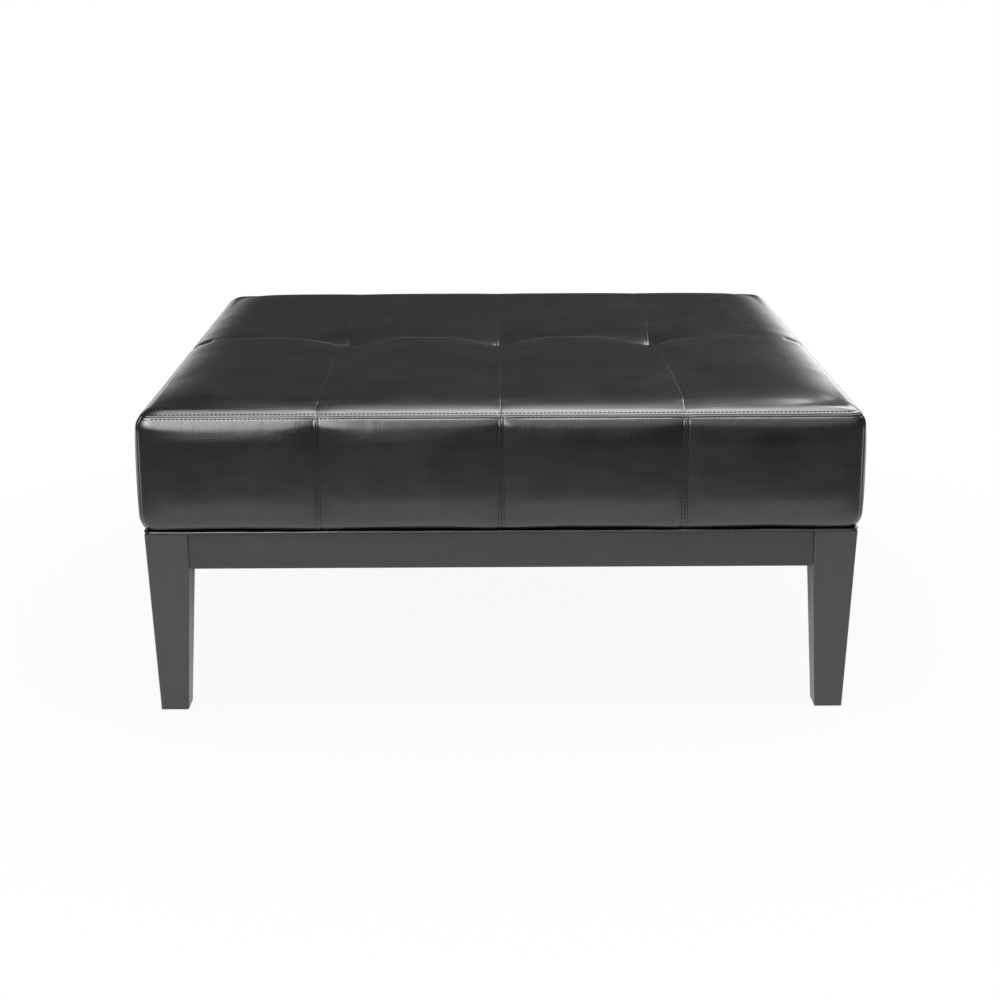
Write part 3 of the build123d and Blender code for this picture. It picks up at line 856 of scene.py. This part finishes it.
def make_foam(node):
    """A foam block with eased edges in place of its solid."""
    net = bmesh.new()
    net.from_mesh(frame["nodes"][node].data)
    bmesh.ops.remove_doubles(net, verts=net.verts, dist=0.01*MM)
    net.normal_update()
    for vertex in net.verts:
        vertex.co -= vertex.normal*leather_room
        vertex.co.x += drawn_in(vertex.co)
        vertex.co.z -= pit_share*tuft_hollow(vertex.co)
    mesh = bpy.data.meshes.new(node + "_foam")
    net.to_mesh(mesh)
    net.free()
    piece = bpy.data.objects.new(node + "_foam", mesh)
    bpy.context.scene.collection.objects.link(piece)
    remesh = piece.modifiers.new("even", "REMESH")
    remesh.mode = "VOXEL"
    remesh.voxel_size = foam_cell
    ease = piece.modifiers.new("ease", "SMOOTH")
    ease.iterations = 2
    graph = bpy.context.evaluated_depsgraph_get()
    made = bpy.data.meshes.new_from_object(piece.evaluated_get(graph))
    piece.modifiers.clear()
    piece.data = made
    for polygon in made.polygons:
        polygon.use_smooth = True
    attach(piece, "root")
    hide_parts(node)
    return piece


foam_nodes = ["foam_core", "foam_topper"]
foam_nodes += [f"side_pad_{side}" for side in ("front", "right", "back", "left")]
foams = [make_foam(node) for node in foam_nodes]
print("foam blocks:", [len(piece.data.polygons) for piece in foams])

# %% [markdown]
# The dust cover under the box is one sheet of thin cloth, stapled taut to the rails. A taut sheet is
# flat, so it keeps its solid.

# %% [markdown]
# ## Surface effects
#
# Several finishes share the same effects, so each effect is a small node group. A group takes a
# place on the piece and a few values, and gives back a height or a mask. The shader itself stays
# in the material. First come small helpers that make a group, a node, a sum and a soft step.

# %% Helpers for nodes
FLOAT, VECTOR = "NodeSocketFloat", "NodeSocketVector"


def new_group(name, inputs, outputs):
    """A node group with named sockets; returns the group and its two end nodes."""
    group = bpy.data.node_groups.new(name, "ShaderNodeTree")
    for label, kind, value in inputs:
        socket = group.interface.new_socket(name=label, in_out="INPUT", socket_type=kind)
        if value is not None:
            socket.default_value = value
    for label, kind in outputs:
        group.interface.new_socket(name=label, in_out="OUTPUT", socket_type=kind)
    return group, group.nodes.new("NodeGroupInput"), group.nodes.new("NodeGroupOutput")


def add(tree, kind, **values):
    """A node with its options set."""
    node = tree.nodes.new(kind)
    for key, value in values.items():
        setattr(node, key, value)
    return node


def maths(tree, operation, first, second=None, clamp=False):
    """A Math node; its inputs are sockets or numbers."""
    node = add(tree, "ShaderNodeMath", operation=operation, use_clamp=clamp)
    for slot_number, value in enumerate((first, second)):
        if value is None:
            continue
        if isinstance(value, (int, float)):
            node.inputs[slot_number].default_value = value
        else:
            tree.links.new(value, node.inputs[slot_number])
    return node.outputs[0]


def ramp(tree, value, low, high):
    """A smooth step of a value from low to high."""
    node = add(tree, "ShaderNodeMapRange", interpolation_type="SMOOTHSTEP")
    tree.links.new(value, node.inputs["Value"])
    node.inputs["From Min"].default_value = low
    node.inputs["From Max"].default_value = high
    return node.outputs["Result"]


print("helpers for nodes are ready")

# %% [markdown]
# Coated leather has three things that gloss brings out: a pebbled grain that is pressed in, fine
# creases where it was bent, and slow clouds in its sheen.

# %% Effects on leather
def pebble_group():
    """The fine pebbled grain that is pressed into coated leather."""
    group, start, end = new_group("pebble_grain", [("Vector", VECTOR, None), ("Scale", FLOAT, 900.0)],
                                  [("Height", FLOAT)])
    drift = add(group, "ShaderNodeTexNoise")
    drift.inputs["Scale"].default_value = 180
    group.links.new(start.outputs["Vector"], drift.inputs["Vector"])
    moved = add(group, "ShaderNodeVectorMath", operation="MULTIPLY_ADD")
    moved.inputs[1].default_value = (0.002, 0.002, 0.002)
    group.links.new(drift.outputs["Color"], moved.inputs[0])
    group.links.new(start.outputs["Vector"], moved.inputs[2])
    cells = add(group, "ShaderNodeTexVoronoi", feature="SMOOTH_F1")
    cells.inputs["Smoothness"].default_value = 0.6
    group.links.new(moved.outputs[0], cells.inputs["Vector"])
    group.links.new(start.outputs["Scale"], cells.inputs["Scale"])
    rounded = maths(group, "SUBTRACT", 1.0, cells.outputs["Distance"])
    group.links.new(rounded, end.inputs["Height"])
    return group


def crease_group():
    """Fine creases: the thin lines where a slow noise crosses its middle value."""
    group, start, end = new_group("creases", [("Vector", VECTOR, None), ("Scale", FLOAT, 20.0),
                                              ("Width", FLOAT, 0.04)], [("Mask", FLOAT)])
    slow = add(group, "ShaderNodeTexNoise")
    slow.inputs["Detail"].default_value = 5
    slow.inputs["Roughness"].default_value = 0.62
    slow.inputs["Distortion"].default_value = 0.6
    group.links.new(start.outputs["Vector"], slow.inputs["Vector"])
    group.links.new(start.outputs["Scale"], slow.inputs["Scale"])
    away = maths(group, "ABSOLUTE", maths(group, "SUBTRACT", slow.outputs["Fac"], 0.5))
    share = maths(group, "DIVIDE", away, start.outputs["Width"], clamp=True)
    line = maths(group, "SUBTRACT", 1.0, share)
    group.links.new(line, end.inputs["Mask"])
    return group


def cloud_group():
    """Slow, soft mottling."""
    group, start, end = new_group("clouds", [("Vector", VECTOR, None), ("Scale", FLOAT, 8.0)],
                                  [("Value", FLOAT)])
    slow = add(group, "ShaderNodeTexNoise")
    slow.inputs["Detail"].default_value = 3
    group.links.new(start.outputs["Vector"], slow.inputs["Vector"])
    group.links.new(start.outputs["Scale"], slow.inputs["Scale"])
    group.links.new(ramp(group, slow.outputs["Fac"], 0.3, 0.7), end.inputs["Value"])
    return group


pebbles, creases, clouds = pebble_group(), crease_group(), cloud_group()
print("leather effects:", [group.name for group in (pebbles, creases, clouds)])

# %% [markdown]
# Wood has long fibres with small pores between them, and lacquer that wears thin along the edges.
# The wear is found by comparing the true normal with one that is bevelled.

# %% Effects on wood
def wood_group():
    """Long fibres and pores along the grain, which runs along the vector's Z."""
    group, start, end = new_group("wood_grain", [("Vector", VECTOR, None), ("Scale", FLOAT, 60.0)],
                                  [("Bands", FLOAT), ("Pores", FLOAT)])
    bent = add(group, "ShaderNodeMapping")
    bent.inputs["Scale"].default_value = (1, 1, 0.05)
    group.links.new(start.outputs["Vector"], bent.inputs["Vector"])
    bands = add(group, "ShaderNodeTexNoise")
    bands.inputs["Detail"].default_value = 4
    bands.inputs["Distortion"].default_value = 0.8
    group.links.new(bent.outputs[0], bands.inputs["Vector"])
    group.links.new(start.outputs["Scale"], bands.inputs["Scale"])
    pores = add(group, "ShaderNodeTexNoise")
    pores.inputs["Detail"].default_value = 2
    group.links.new(bent.outputs[0], pores.inputs["Vector"])
    group.links.new(maths(group, "MULTIPLY", start.outputs["Scale"], 14.0), pores.inputs["Scale"])
    group.links.new(bands.outputs["Fac"], end.inputs["Bands"])
    group.links.new(ramp(group, pores.outputs["Fac"], 0.55, 0.7), end.inputs["Pores"])
    return group


def edge_group():
    """A mask of worn edges, from how far a bevelled normal turns away from the true one."""
    group, start, end = new_group("edge_wear", [("Vector", VECTOR, None), ("Radius", FLOAT, 0.0015)],
                                  [("Mask", FLOAT)])
    eased = add(group, "ShaderNodeBevel", samples=4)
    group.links.new(start.outputs["Radius"], eased.inputs["Radius"])
    true = add(group, "ShaderNodeNewGeometry")
    same = add(group, "ShaderNodeVectorMath", operation="DOT_PRODUCT")
    group.links.new(eased.outputs["Normal"], same.inputs[0])
    group.links.new(true.outputs["Normal"], same.inputs[1])
    turned = ramp(group, maths(group, "SUBTRACT", 1.0, same.outputs["Value"]), 0.02, 0.2)
    broken = add(group, "ShaderNodeTexNoise")
    broken.inputs["Scale"].default_value = 90
    group.links.new(start.outputs["Vector"], broken.inputs["Vector"])
    rubbed = ramp(group, broken.outputs["Fac"], 0.35, 0.65)
    group.links.new(maths(group, "MULTIPLY", turned, rubbed), end.inputs["Mask"])
    return group


fibres, edge_wear = wood_group(), edge_group()
print("wood effects:", [group.name for group in (fibres, edge_wear)])

# %% [markdown]
# ## Leather
#
# The cover is coated leather: smooth, black and glossy, with a shallow pebbled grain. So its looks
# come from what it mirrors, a little blurred and broken by grain, fine creases and the gathers that
# hang from the seam round the top. Four helpers that all finishes use come first.

# %% Helpers for finishes
def new_material(name):
    """A material with its tree, its shader and a node that gives places on the piece."""
    material = bpy.data.materials.new(name)
    material.use_nodes = True
    tree = material.node_tree
    shader = tree.nodes["Principled BSDF"]
    places = add(tree, "ShaderNodeTexCoord")
    return material, tree, shader, places.outputs["Object"]


def place_group(tree, group, vector, **values):
    """A node group in a material, with its own values."""
    node = add(tree, "ShaderNodeGroup", node_tree=group)
    tree.links.new(vector, node.inputs["Vector"])
    for key, value in values.items():
        node.inputs[key].default_value = value
    return node


def mix_colors(tree, share, first, second):
    """A colour between two, by a mask; the colours are written or come from sockets."""
    node = add(tree, "ShaderNodeMix", data_type="RGBA")
    tree.links.new(share, node.inputs["Factor"])
    for socket, value in ((node.inputs[6], first), (node.inputs[7], second)):
        if isinstance(value, tuple):
            socket.default_value = (*value, 1)
        else:
            tree.links.new(value, socket)
    return node.outputs[2]


def bump(tree, shader, height, distance, before=None):
    """A bump node, chained after another one if there is one."""
    node = add(tree, "ShaderNodeBump")
    node.inputs["Distance"].default_value = distance
    tree.links.new(height, node.inputs["Height"])
    if before:
        tree.links.new(before.outputs["Normal"], node.inputs["Normal"])
    tree.links.new(node.outputs["Normal"], shader.inputs["Normal"])
    return node


print("helpers for finishes are ready")

# %% [markdown]
# The leather has two layers, as the real one has: a dull black body and a clear coat over it. The
# coat does the mirroring. The bumps are chained from the finest grain to the long streaks, which
# lie only on the sides, where the leather is pulled round the box.

# %% Leather
dark_share, pale_share = 0.7, 1.75    # the tones of the body, as shares of its colour


def leather_material(name, base, rough, gathers=True):
    """Coated leather; the gathers and streaks are left out on the narrow hem."""
    material, tree, shader, places = new_material(name)
    shader.inputs["Specular IOR Level"].default_value = 0.35
    shader.inputs["Coat Weight"].default_value = 1.0
    shader.inputs["Coat Roughness"].default_value = 0.16
    grain = place_group(tree, pebbles, places, Scale=850.0)
    lines = place_group(tree, creases, places, Scale=16.0, Width=0.016)
    fine_lines = place_group(tree, creases, places, Scale=48.0, Width=0.04)
    mottled = place_group(tree, clouds, places, Scale=9.0)
    drawn_out = add(tree, "ShaderNodeMapping")
    drawn_out.inputs["Scale"].default_value = (0.45, 0.45, 1.0)
    drawn_out.inputs["Rotation"].default_value = (0.12, 0.2, 0)
    tree.links.new(places, drawn_out.inputs["Vector"])
    marks = place_group(tree, clouds, drawn_out.outputs[0], Scale=46.0)
    dark, pale = [tuple(v*share for v in base) for share in (dark_share, pale_share)]
    tree.links.new(mix_colors(tree, marks.outputs["Value"], dark, pale), shader.inputs["Base Color"])
    blur = add(tree, "ShaderNodeMapRange")
    tree.links.new(mottled.outputs["Value"], blur.inputs["Value"])
    blur.inputs["To Min"].default_value = rough - 0.04
    blur.inputs["To Max"].default_value = rough + 0.05
    worn = maths(tree, "MULTIPLY", lines.outputs["Mask"], 0.03)
    tree.links.new(maths(tree, "ADD", blur.outputs["Result"], worn), shader.inputs["Roughness"])
    first = bump(tree, shader, grain.outputs["Height"], 0.00004)
    second = bump(tree, shader, lines.outputs["Mask"], -0.000006, first)
    third = bump(tree, shader, fine_lines.outputs["Mask"], -0.000012, second)
    if gathers:
        stretch = add(tree, "ShaderNodeMapping")
        stretch.inputs["Scale"].default_value = (1, 1, 0.12)
        tree.links.new(places, stretch.inputs["Vector"])
        pulled = add(tree, "ShaderNodeTexNoise")
        pulled.inputs["Scale"].default_value = 320
        pulled.inputs["Detail"].default_value = 1
        tree.links.new(stretch.outputs[0], pulled.inputs["Vector"])
        split = add(tree, "ShaderNodeSeparateXYZ")
        tree.links.new(places, split.inputs[0])
        near = ramp(tree, split.outputs["Z"], seam_height - 60*MM, seam_height - 8*MM)
        below = ramp(tree, split.outputs["Z"], seam_height + 3*MM, seam_height - 2*MM)
        drawn = maths(tree, "MULTIPLY", pulled.outputs["Fac"], maths(tree, "MULTIPLY", near, below))
        fourth = bump(tree, shader, drawn, 0.0004, third)
        level = add(tree, "ShaderNodeMapping")
        level.inputs["Scale"].default_value = (0.35, 0.35, 1.4)
        tree.links.new(places, level.inputs["Vector"])
        streaks = add(tree, "ShaderNodeTexNoise")
        streaks.inputs["Scale"].default_value = 55
        streaks.inputs["Detail"].default_value = 4
        tree.links.new(level.outputs[0], streaks.inputs["Vector"])
        on_sides = maths(tree, "MULTIPLY", streaks.outputs["Fac"], below)
        bump(tree, shader, on_sides, 0.0007, fourth)
    return material


black_leather = leather_material("black_leather", (0.007, 0.007, 0.0075), 0.34)
# The hem's body is twice as light as the cover's, though it is the same leather: a painted highlight for the
# light rim along its fold.
hem_skin_painted_highlight = leather_material("hem_leather", (0.014, 0.014, 0.015), 0.26, gathers=False)
for panel in panels:
    panel.data.materials.append(black_leather)
hem.data.materials.append(hem_skin_painted_highlight)
print("leather on", len(panels), "panels and the hem")

# %% [markdown]
# The thread is dull beside the leather, which is what makes the rows of stitches show. A very fine
# noise stands for its twist.

# %% Thread finish
thread_skin, tree, shader, places = new_material("black_thread")
twist = add(tree, "ShaderNodeTexNoise")
twist.inputs["Scale"].default_value = 2500
tree.links.new(places, twist.inputs["Vector"])
tree.links.new(mix_colors(tree, twist.outputs["Fac"], (0.004, 0.004, 0.004), (0.012, 0.012, 0.012)),
               shader.inputs["Base Color"])
shader.inputs["Roughness"].default_value = 0.85
shader.inputs["Specular IOR Level"].default_value = 0.25
for thread in threads:
    thread.data.materials.clear()
    thread.data.materials.append(thread_skin)
print("thread finish on", len(threads), "pieces")

# %% [markdown]
# ## Wood
#
# The base is stained black under a satin lacquer. The stain hides the colour of the wood but not
# its fibres, which show as a very fine relief and slightly uneven gloss. The edges are a little
# lighter, where the lacquer is thin and hands and feet rub. The grain runs along each piece.

# %% Stained wood
GRAIN_TURNS = {"Z": (0, 0, 0), "X": (0, math.pi/2, 0), "Y": (math.pi/2, 0, 0)}
dark_stain, light_stain, worn_stain = (0.042, 0.0415, 0.041), (0.062, 0.061, 0.06), (0.11, 0.108, 0.105)


def grain_places(tree, places, way):
    """Places turned so that the grain runs along one axis of the table."""
    turned = add(tree, "ShaderNodeMapping")
    turned.inputs["Rotation"].default_value = GRAIN_TURNS[way]
    tree.links.new(places, turned.inputs["Vector"])
    return turned.outputs[0]


def stained_wood(way, pale=1.0):
    """Black-stained wood with its grain along one axis; pale lightens the stain, as painted light on the
    legs.
    """
    material, tree, shader, places = new_material("stained_wood_" + way.lower())
    along = grain_places(tree, places, way)
    grain = place_group(tree, fibres, along, Scale=45.0)
    mottled = place_group(tree, clouds, along, Scale=11.0)
    worn = place_group(tree, edge_wear, places, Radius=0.0016)
    dark, light = [tuple(pale*v for v in tone) for tone in (dark_stain, light_stain)]
    stain = mix_colors(tree, grain.outputs["Bands"], dark, light)
    stain = mix_colors(tree, maths(tree, "MULTIPLY", worn.outputs["Mask"], 0.5), stain, worn_stain)
    tree.links.new(stain, shader.inputs["Base Color"])
    gloss = maths(tree, "MULTIPLY", mottled.outputs["Value"], 0.06)
    pores = maths(tree, "MULTIPLY", grain.outputs["Pores"], 0.08)
    rough = maths(tree, "ADD", maths(tree, "ADD", gloss, pores), 0.36)
    tree.links.new(rough, shader.inputs["Roughness"])
    relief = bump(tree, shader, grain.outputs["Pores"], -0.00008)
    bump(tree, shader, grain.outputs["Bands"], 0.0001, relief)
    return material


def plain_wood(name, way, pale, dark, scale):
    """Bare wood with its grain along one axis."""
    material, tree, shader, places = new_material(name)
    along = grain_places(tree, places, way)
    grain = place_group(tree, fibres, along, Scale=scale)
    tree.links.new(mix_colors(tree, grain.outputs["Bands"], dark, pale), shader.inputs["Base Color"])
    pores = maths(tree, "MULTIPLY", grain.outputs["Pores"], 0.1)
    tree.links.new(maths(tree, "ADD", pores, 0.6), shader.inputs["Roughness"])
    bump(tree, shader, grain.outputs["Bands"], 0.0002)
    return material


# The legs, whose grain runs along Z, get a stain 1.25 times as light. This is painted light: the aprons lie
# in the cushion's shade and the legs stand in more light.
woods = {way: stained_wood(way, pale) for way, pale in (("X", 1.0), ("Y", 1.0), ("Z", 1.25))}
print("stained wood:", [finish.name for finish in woods.values()])

# %% [markdown]
# ## The pieces inside and underneath
#
# Pine rails, a plywood deck, foam, zinc-plated fasteners, twine and the black dust cover are plain
# materials, but each still has its own grain or fine two-toned noise.

# %% Inner materials
def speckled(name, first, second, scale, rough, metallic=0.0, depth=0.0001, stretch=(1, 1, 1)):
    """A material of two tones of fine noise, with a matching relief."""
    material, tree, shader, places = new_material(name)
    shape = add(tree, "ShaderNodeMapping")
    shape.inputs["Scale"].default_value = stretch
    tree.links.new(places, shape.inputs["Vector"])
    grain = add(tree, "ShaderNodeTexNoise")
    grain.inputs["Scale"].default_value = scale
    grain.inputs["Detail"].default_value = 3
    tree.links.new(shape.outputs[0], grain.inputs["Vector"])
    tree.links.new(mix_colors(tree, grain.outputs["Fac"], first, second), shader.inputs["Base Color"])
    uneven = maths(tree, "MULTIPLY", grain.outputs["Fac"], 0.2)
    tree.links.new(maths(tree, "ADD", uneven, rough - 0.1), shader.inputs["Roughness"])
    shader.inputs["Metallic"].default_value = metallic
    bump(tree, shader, grain.outputs["Fac"], depth)
    return material


finishes = {
    "foam": speckled("foam", (0.86, 0.78, 0.52), (0.95, 0.9, 0.7), 900, 0.9, depth=0.0004),
    "dust_cloth": speckled("dust_cloth", (0.012, 0.012, 0.012), (0.04, 0.04, 0.04), 700, 0.9),
    "twine": speckled("twine", (0.6, 0.54, 0.42), (0.82, 0.78, 0.66), 1500, 0.8),
    "zinc_steel": speckled("zinc_steel", (0.6, 0.61, 0.62), (0.78, 0.79, 0.8), 400, 0.35, 1.0, 0.00002),
    "glide_plastic": speckled("glide_plastic", (0.02, 0.02, 0.02), (0.04, 0.04, 0.04), 900, 0.5),
}
pines = {way: plain_wood("pine_" + way.lower(), way, (0.78, 0.6, 0.38), (0.6, 0.42, 0.24), 30.0)
         for way in "XYZ"}
plywood = plain_wood("plywood", "X", (0.74, 0.58, 0.38), (0.6, 0.44, 0.26), 24.0)
beech = plain_wood("dowel_wood", "X", (0.8, 0.64, 0.44), (0.68, 0.5, 0.32), 60.0)
print("inner finishes:", sorted(finishes) + ["pine", "plywood", "dowel_wood"])

# %% [markdown]
# The record of the construction names a material slot for each piece. The finish follows that slot,
# and the grain of a board follows its longest side.

# %% Give out the finishes
slots = {part["node"]: part["material_slot"] for part in frame["record"]["subparts"]}


def longest_way(node):
    """The axis along which a piece is longest."""
    low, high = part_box(node)
    size = high - low
    return "XYZ"[max(range(3), key=lambda axis: size[axis])]


for node, piece in frame["nodes"].items():
    slot_name = slots[node]
    if slot_name == "stained_wood":
        finish = woods[longest_way(node)]
    elif slot_name == "pine":
        finish = pines[longest_way(node)]
    elif slot_name == "plywood":
        finish = plywood
    elif slot_name == "dowel_wood":
        finish = beech
    elif slot_name in finishes:
        finish = finishes[slot_name]
    else:
        finish = black_leather
    piece.data.materials.clear()
    piece.data.materials.append(finish)
for piece in foams:
    piece.data.materials.append(finishes["foam"])
print("finishes given to", len(frame["nodes"]), "frame pieces")

# %% [markdown]
# ## Floor, backdrop and lights
#
# Black gloss shows its surroundings, so the studio has two parts. Soft lamps light the table, and
# the world and the floor are white to the camera. What the table mirrors is painted on a dome that
# only mirrored rays meet. So the lamps themselves are hidden from mirrored rays.

# %% Lamps
table_middle = (0, 0, 0.35)


def soft_lamp(name, place, aim, size, strength):
    """A rectangular soft lamp; the strength is the brightness of its face."""
    data = bpy.data.lights.new(name, "AREA")
    data.shape = "RECTANGLE"
    data.size, data.size_y = size
    data.energy = strength*math.pi*size[0]*size[1]
    lamp = bpy.data.objects.new(name, data)
    bpy.context.scene.collection.objects.link(lamp)
    lamp.location = place
    lamp.visible_glossy = False
    lamp.rotation_euler = (Vector(aim) - Vector(place)).to_track_quat("-Z", "Y").to_euler()
    return lamp


lamps = [soft_lamp("lamp_over", (0.3, -0.4, 2.3), (0.3, -0.4, 0), (2.2, 2.4), 1.7),
         soft_lamp("lamp_front", (-0.3, -3.4, 1.95), table_middle, (2.6, 1.6), 2.2)]
lamps += [soft_lamp(f"lamp_{side}", (way*2.8, -0.3, 1.2), table_middle, (1.4, 1.2), 1.6)
          for side, way in (("left", -1), ("right", 1))]
print("lamps:", [lamp.name for lamp in lamps])

# %% [markdown]
# The world is white where it is seen, in a mirror too, and dim where it lights the table. One
# material can do both, because Light Path tells what kind of ray has arrived.

# %% World
WORLD_LIGHT = 0.35


def shown_rays(tree):
    """One for rays from the camera, mirrored or passed through glass, and zero for the rest."""
    path = add(tree, "ShaderNodeLightPath")
    both = maths(tree, "MAXIMUM", path.outputs["Is Camera Ray"], path.outputs["Is Glossy Ray"])
    return maths(tree, "MAXIMUM", both, path.outputs["Is Transmission Ray"])


world = bpy.data.worlds.new("studio")
bpy.context.scene.world = world
world.use_nodes = True
tree = world.node_tree
tree.nodes.clear()
lit = add(tree, "ShaderNodeBackground")
lit.inputs["Strength"].default_value = WORLD_LIGHT
seen = add(tree, "ShaderNodeBackground")
seen.inputs["Color"].default_value = (1, 1, 1, 1)
either = add(tree, "ShaderNodeMixShader")
out = add(tree, "ShaderNodeOutputWorld")
tree.links.new(shown_rays(tree), either.inputs[0])
tree.links.new(lit.outputs[0], either.inputs[1])
tree.links.new(seen.outputs[0], either.inputs[2])
tree.links.new(either.outputs[0], out.inputs["Surface"])
print("world lights the table at", WORLD_LIGHT)

# %% [markdown]
# The floor glows white for the camera. Near the table a small share of it is plain chalk instead,
# lit by the lamps, which keeps the table's shadow. In a mirror it has its own pattern: pale strips
# at both sides behind the table's middle, and at the front a glow that fades away from the feet.

# %% Floor
FLOOR_RADIUS = 40
chalk_share = 0.07            # share of chalk near the table
front_loss = 0.82             # how far the mirrored floor darkens away from the feet
strip_light, back_light_least = 0.95, 0.03
CHALK = (0.9, 0.9, 0.9)


def stage_piece(name, net):
    """A piece of the studio, not of the table."""
    mesh = bpy.data.meshes.new(name)
    net.to_mesh(mesh)
    net.free()
    piece = bpy.data.objects.new(name, mesh)
    bpy.context.scene.collection.objects.link(piece)
    return piece


net = bmesh.new()
bmesh.ops.create_circle(net, cap_ends=True, segments=96, radius=FLOOR_RADIUS)
floor = stage_piece("floor", net)
material, tree, shader, places = new_material("floor")
tree.nodes.remove(shader)
away = add(tree, "ShaderNodeVectorMath", operation="LENGTH")
tree.links.new(places, away.inputs[0])
distance = away.outputs["Value"]
path = add(tree, "ShaderNodeLightPath")
near = maths(tree, "MULTIPLY", ramp(tree, distance, 1.2, 0.5), chalk_share)
split = add(tree, "ShaderNodeSeparateXYZ")
tree.links.new(places, split.inputs[0])
sideways = maths(tree, "ABSOLUTE", split.outputs["X"])
lost = maths(tree, "MULTIPLY", ramp(tree, distance, 1.0, 1.8), front_loss)
front_light = maths(tree, "SUBTRACT", 1.0, lost)
strip = maths(tree, "MULTIPLY", ramp(tree, sideways, 0.95, 1.4), ramp(tree, sideways, 2.4, 1.7))
back_light = maths(tree, "ADD", maths(tree, "MULTIPLY", strip, strip_light), back_light_least)
behind = ramp(tree, split.outputs["Y"], -0.3, 0.5)
back_part = maths(tree, "MULTIPLY", behind, back_light)
front_part = maths(tree, "MULTIPLY", maths(tree, "SUBTRACT", 1.0, behind), front_light)
mirrored = maths(tree, "ADD", back_part, front_part)
clear = maths(tree, "SUBTRACT", 1.0, near)
only_seen = maths(tree, "MULTIPLY", clear, path.outputs["Is Camera Ray"])
others = maths(tree, "MAXIMUM", path.outputs["Is Glossy Ray"], path.outputs["Is Transmission Ray"])
only_mirrored = maths(tree, "MULTIPLY", mirrored, others)
glow = add(tree, "ShaderNodeEmission")
tree.links.new(maths(tree, "ADD", only_seen, only_mirrored), glow.inputs["Strength"])
chalk = add(tree, "ShaderNodeBsdfDiffuse")
seen_share = maths(tree, "MULTIPLY", path.outputs["Is Camera Ray"], clear)
unseen, unmirrored = [maths(tree, "SUBTRACT", 1.0, share) for share in (seen_share, others)]
tint = mix_colors(tree, maths(tree, "MULTIPLY", unseen, unmirrored), (0.0, 0.0, 0.0), CHALK)
tree.links.new(tint, chalk.inputs["Color"])
total = add(tree, "ShaderNodeAddShader")
tree.links.new(chalk.outputs[0], total.inputs[0])
tree.links.new(glow.outputs[0], total.inputs[1])
tree.links.new(total.outputs[0], tree.nodes["Material Output"].inputs["Surface"])
floor.data.materials.append(material)
print("floor", 2*FLOOR_RADIUS, "m across")

# %% [markdown]
# The dome is what the table mirrors, and only mirrored rays meet it. It is dark behind the table.
# Light overhead makes the bright band on the rolled front edge, a window with a hot core at the
# front left lights the band under the seam, and lights at the back right reach the front corner and
# the hollows of the tufts. Low strips at both sides draw the edges of the cushion.

# %% Mirrored dome
DOME_RADIUS = 4.2
DOME_BASE = 0.055
net = bmesh.new()
bmesh.ops.create_uvsphere(net, u_segments=64, v_segments=32, radius=DOME_RADIUS)
bmesh.ops.bisect_plane(net, geom=net.verts[:] + net.edges[:] + net.faces[:], plane_co=(0, 0, 0.001),
                       plane_no=(0, 0, 1), clear_inner=True)
dome = stage_piece("mirrored_dome", net)
dome.visible_camera = False
dome.visible_diffuse = False
dome.visible_shadow = False
material, tree, shader, places = new_material("mirrored_dome")
tree.nodes.remove(shader)
split = add(tree, "ShaderNodeSeparateXYZ")
tree.links.new(places, split.inputs[0])
x, y, z = split.outputs


def patch(*parts):
    """The brightness of one patch of the dome: its strength times soft steps along the axes."""
    value = parts[0]
    for along, low, high in parts[1:]:
        value = maths(tree, "MULTIPLY", ramp(tree, along, low, high), value)
    return value


overhead = patch(7.6, (z, 3.1, 4.15), (y, 2.9, 0.0), (x, -2.0, 0.2), (x, 2.8, 0.3), (y, -2.9, -1.5))
hot_core = patch(5.0, (z, 1.4, 2.2), (x, -1.2, -1.8), (x, -3.2, -2.4), (y, -0.8, -1.8))
corner_light = patch(3.4, (z, 1.3, 1.9), (z, 3.3, 2.7), (x, 1.4, 1.9), (x, 3.2, 2.6), (y, 0.9, 1.4))
tuft_light = patch(6.0, (z, 2.7, 3.1), (x, 0.95, 1.3), (x, 2.7, 2.2), (y, 0.9, 1.4))
window = patch(4.8, (z, 0.6, 1.4), (x, -0.42, -0.62), (x, -3.0, -1.8), (y, -0.8, -1.8))
front = patch(1.0, (z, 0.7, 2.2), (y, -0.6, -1.6), (x, 3.2, 0.2))
sideways = maths(tree, "ABSOLUTE", x)
low_sides = patch(0.9, (z, 0.95, 0.35), (sideways, 0.85, 1.35), (sideways, 2.9, 2.2), (y, -1.0, 1.0))
low_right = patch(0.8, (z, 1.25, 0.5), (x, 1.0, 1.5), (x, 2.9, 2.2), (y, -1.0, 1.0))
total = DOME_BASE
for value in (overhead, hot_core, corner_light, tuft_light, window, front, low_sides, low_right):
    total = maths(tree, "ADD", value, total)
glow = add(tree, "ShaderNodeEmission")
tree.links.new(total, glow.inputs["Strength"])
tree.links.new(glow.outputs[0], tree.nodes["Material Output"].inputs["Surface"])
dome.data.materials.append(material)
bpy.context.scene.view_settings.view_transform = "Standard"
print("dome", 2*DOME_RADIUS, "m across, base light", DOME_BASE)

# %% [markdown]
# ## The frame's box
#
# The finished table is meant to stay within the frame's box, apart from the little that leather may
# stand proud. The frame's box is printed.

# %% Finish
print("frame box", [round(v, 4) for v in (*cad_low, *cad_high)])
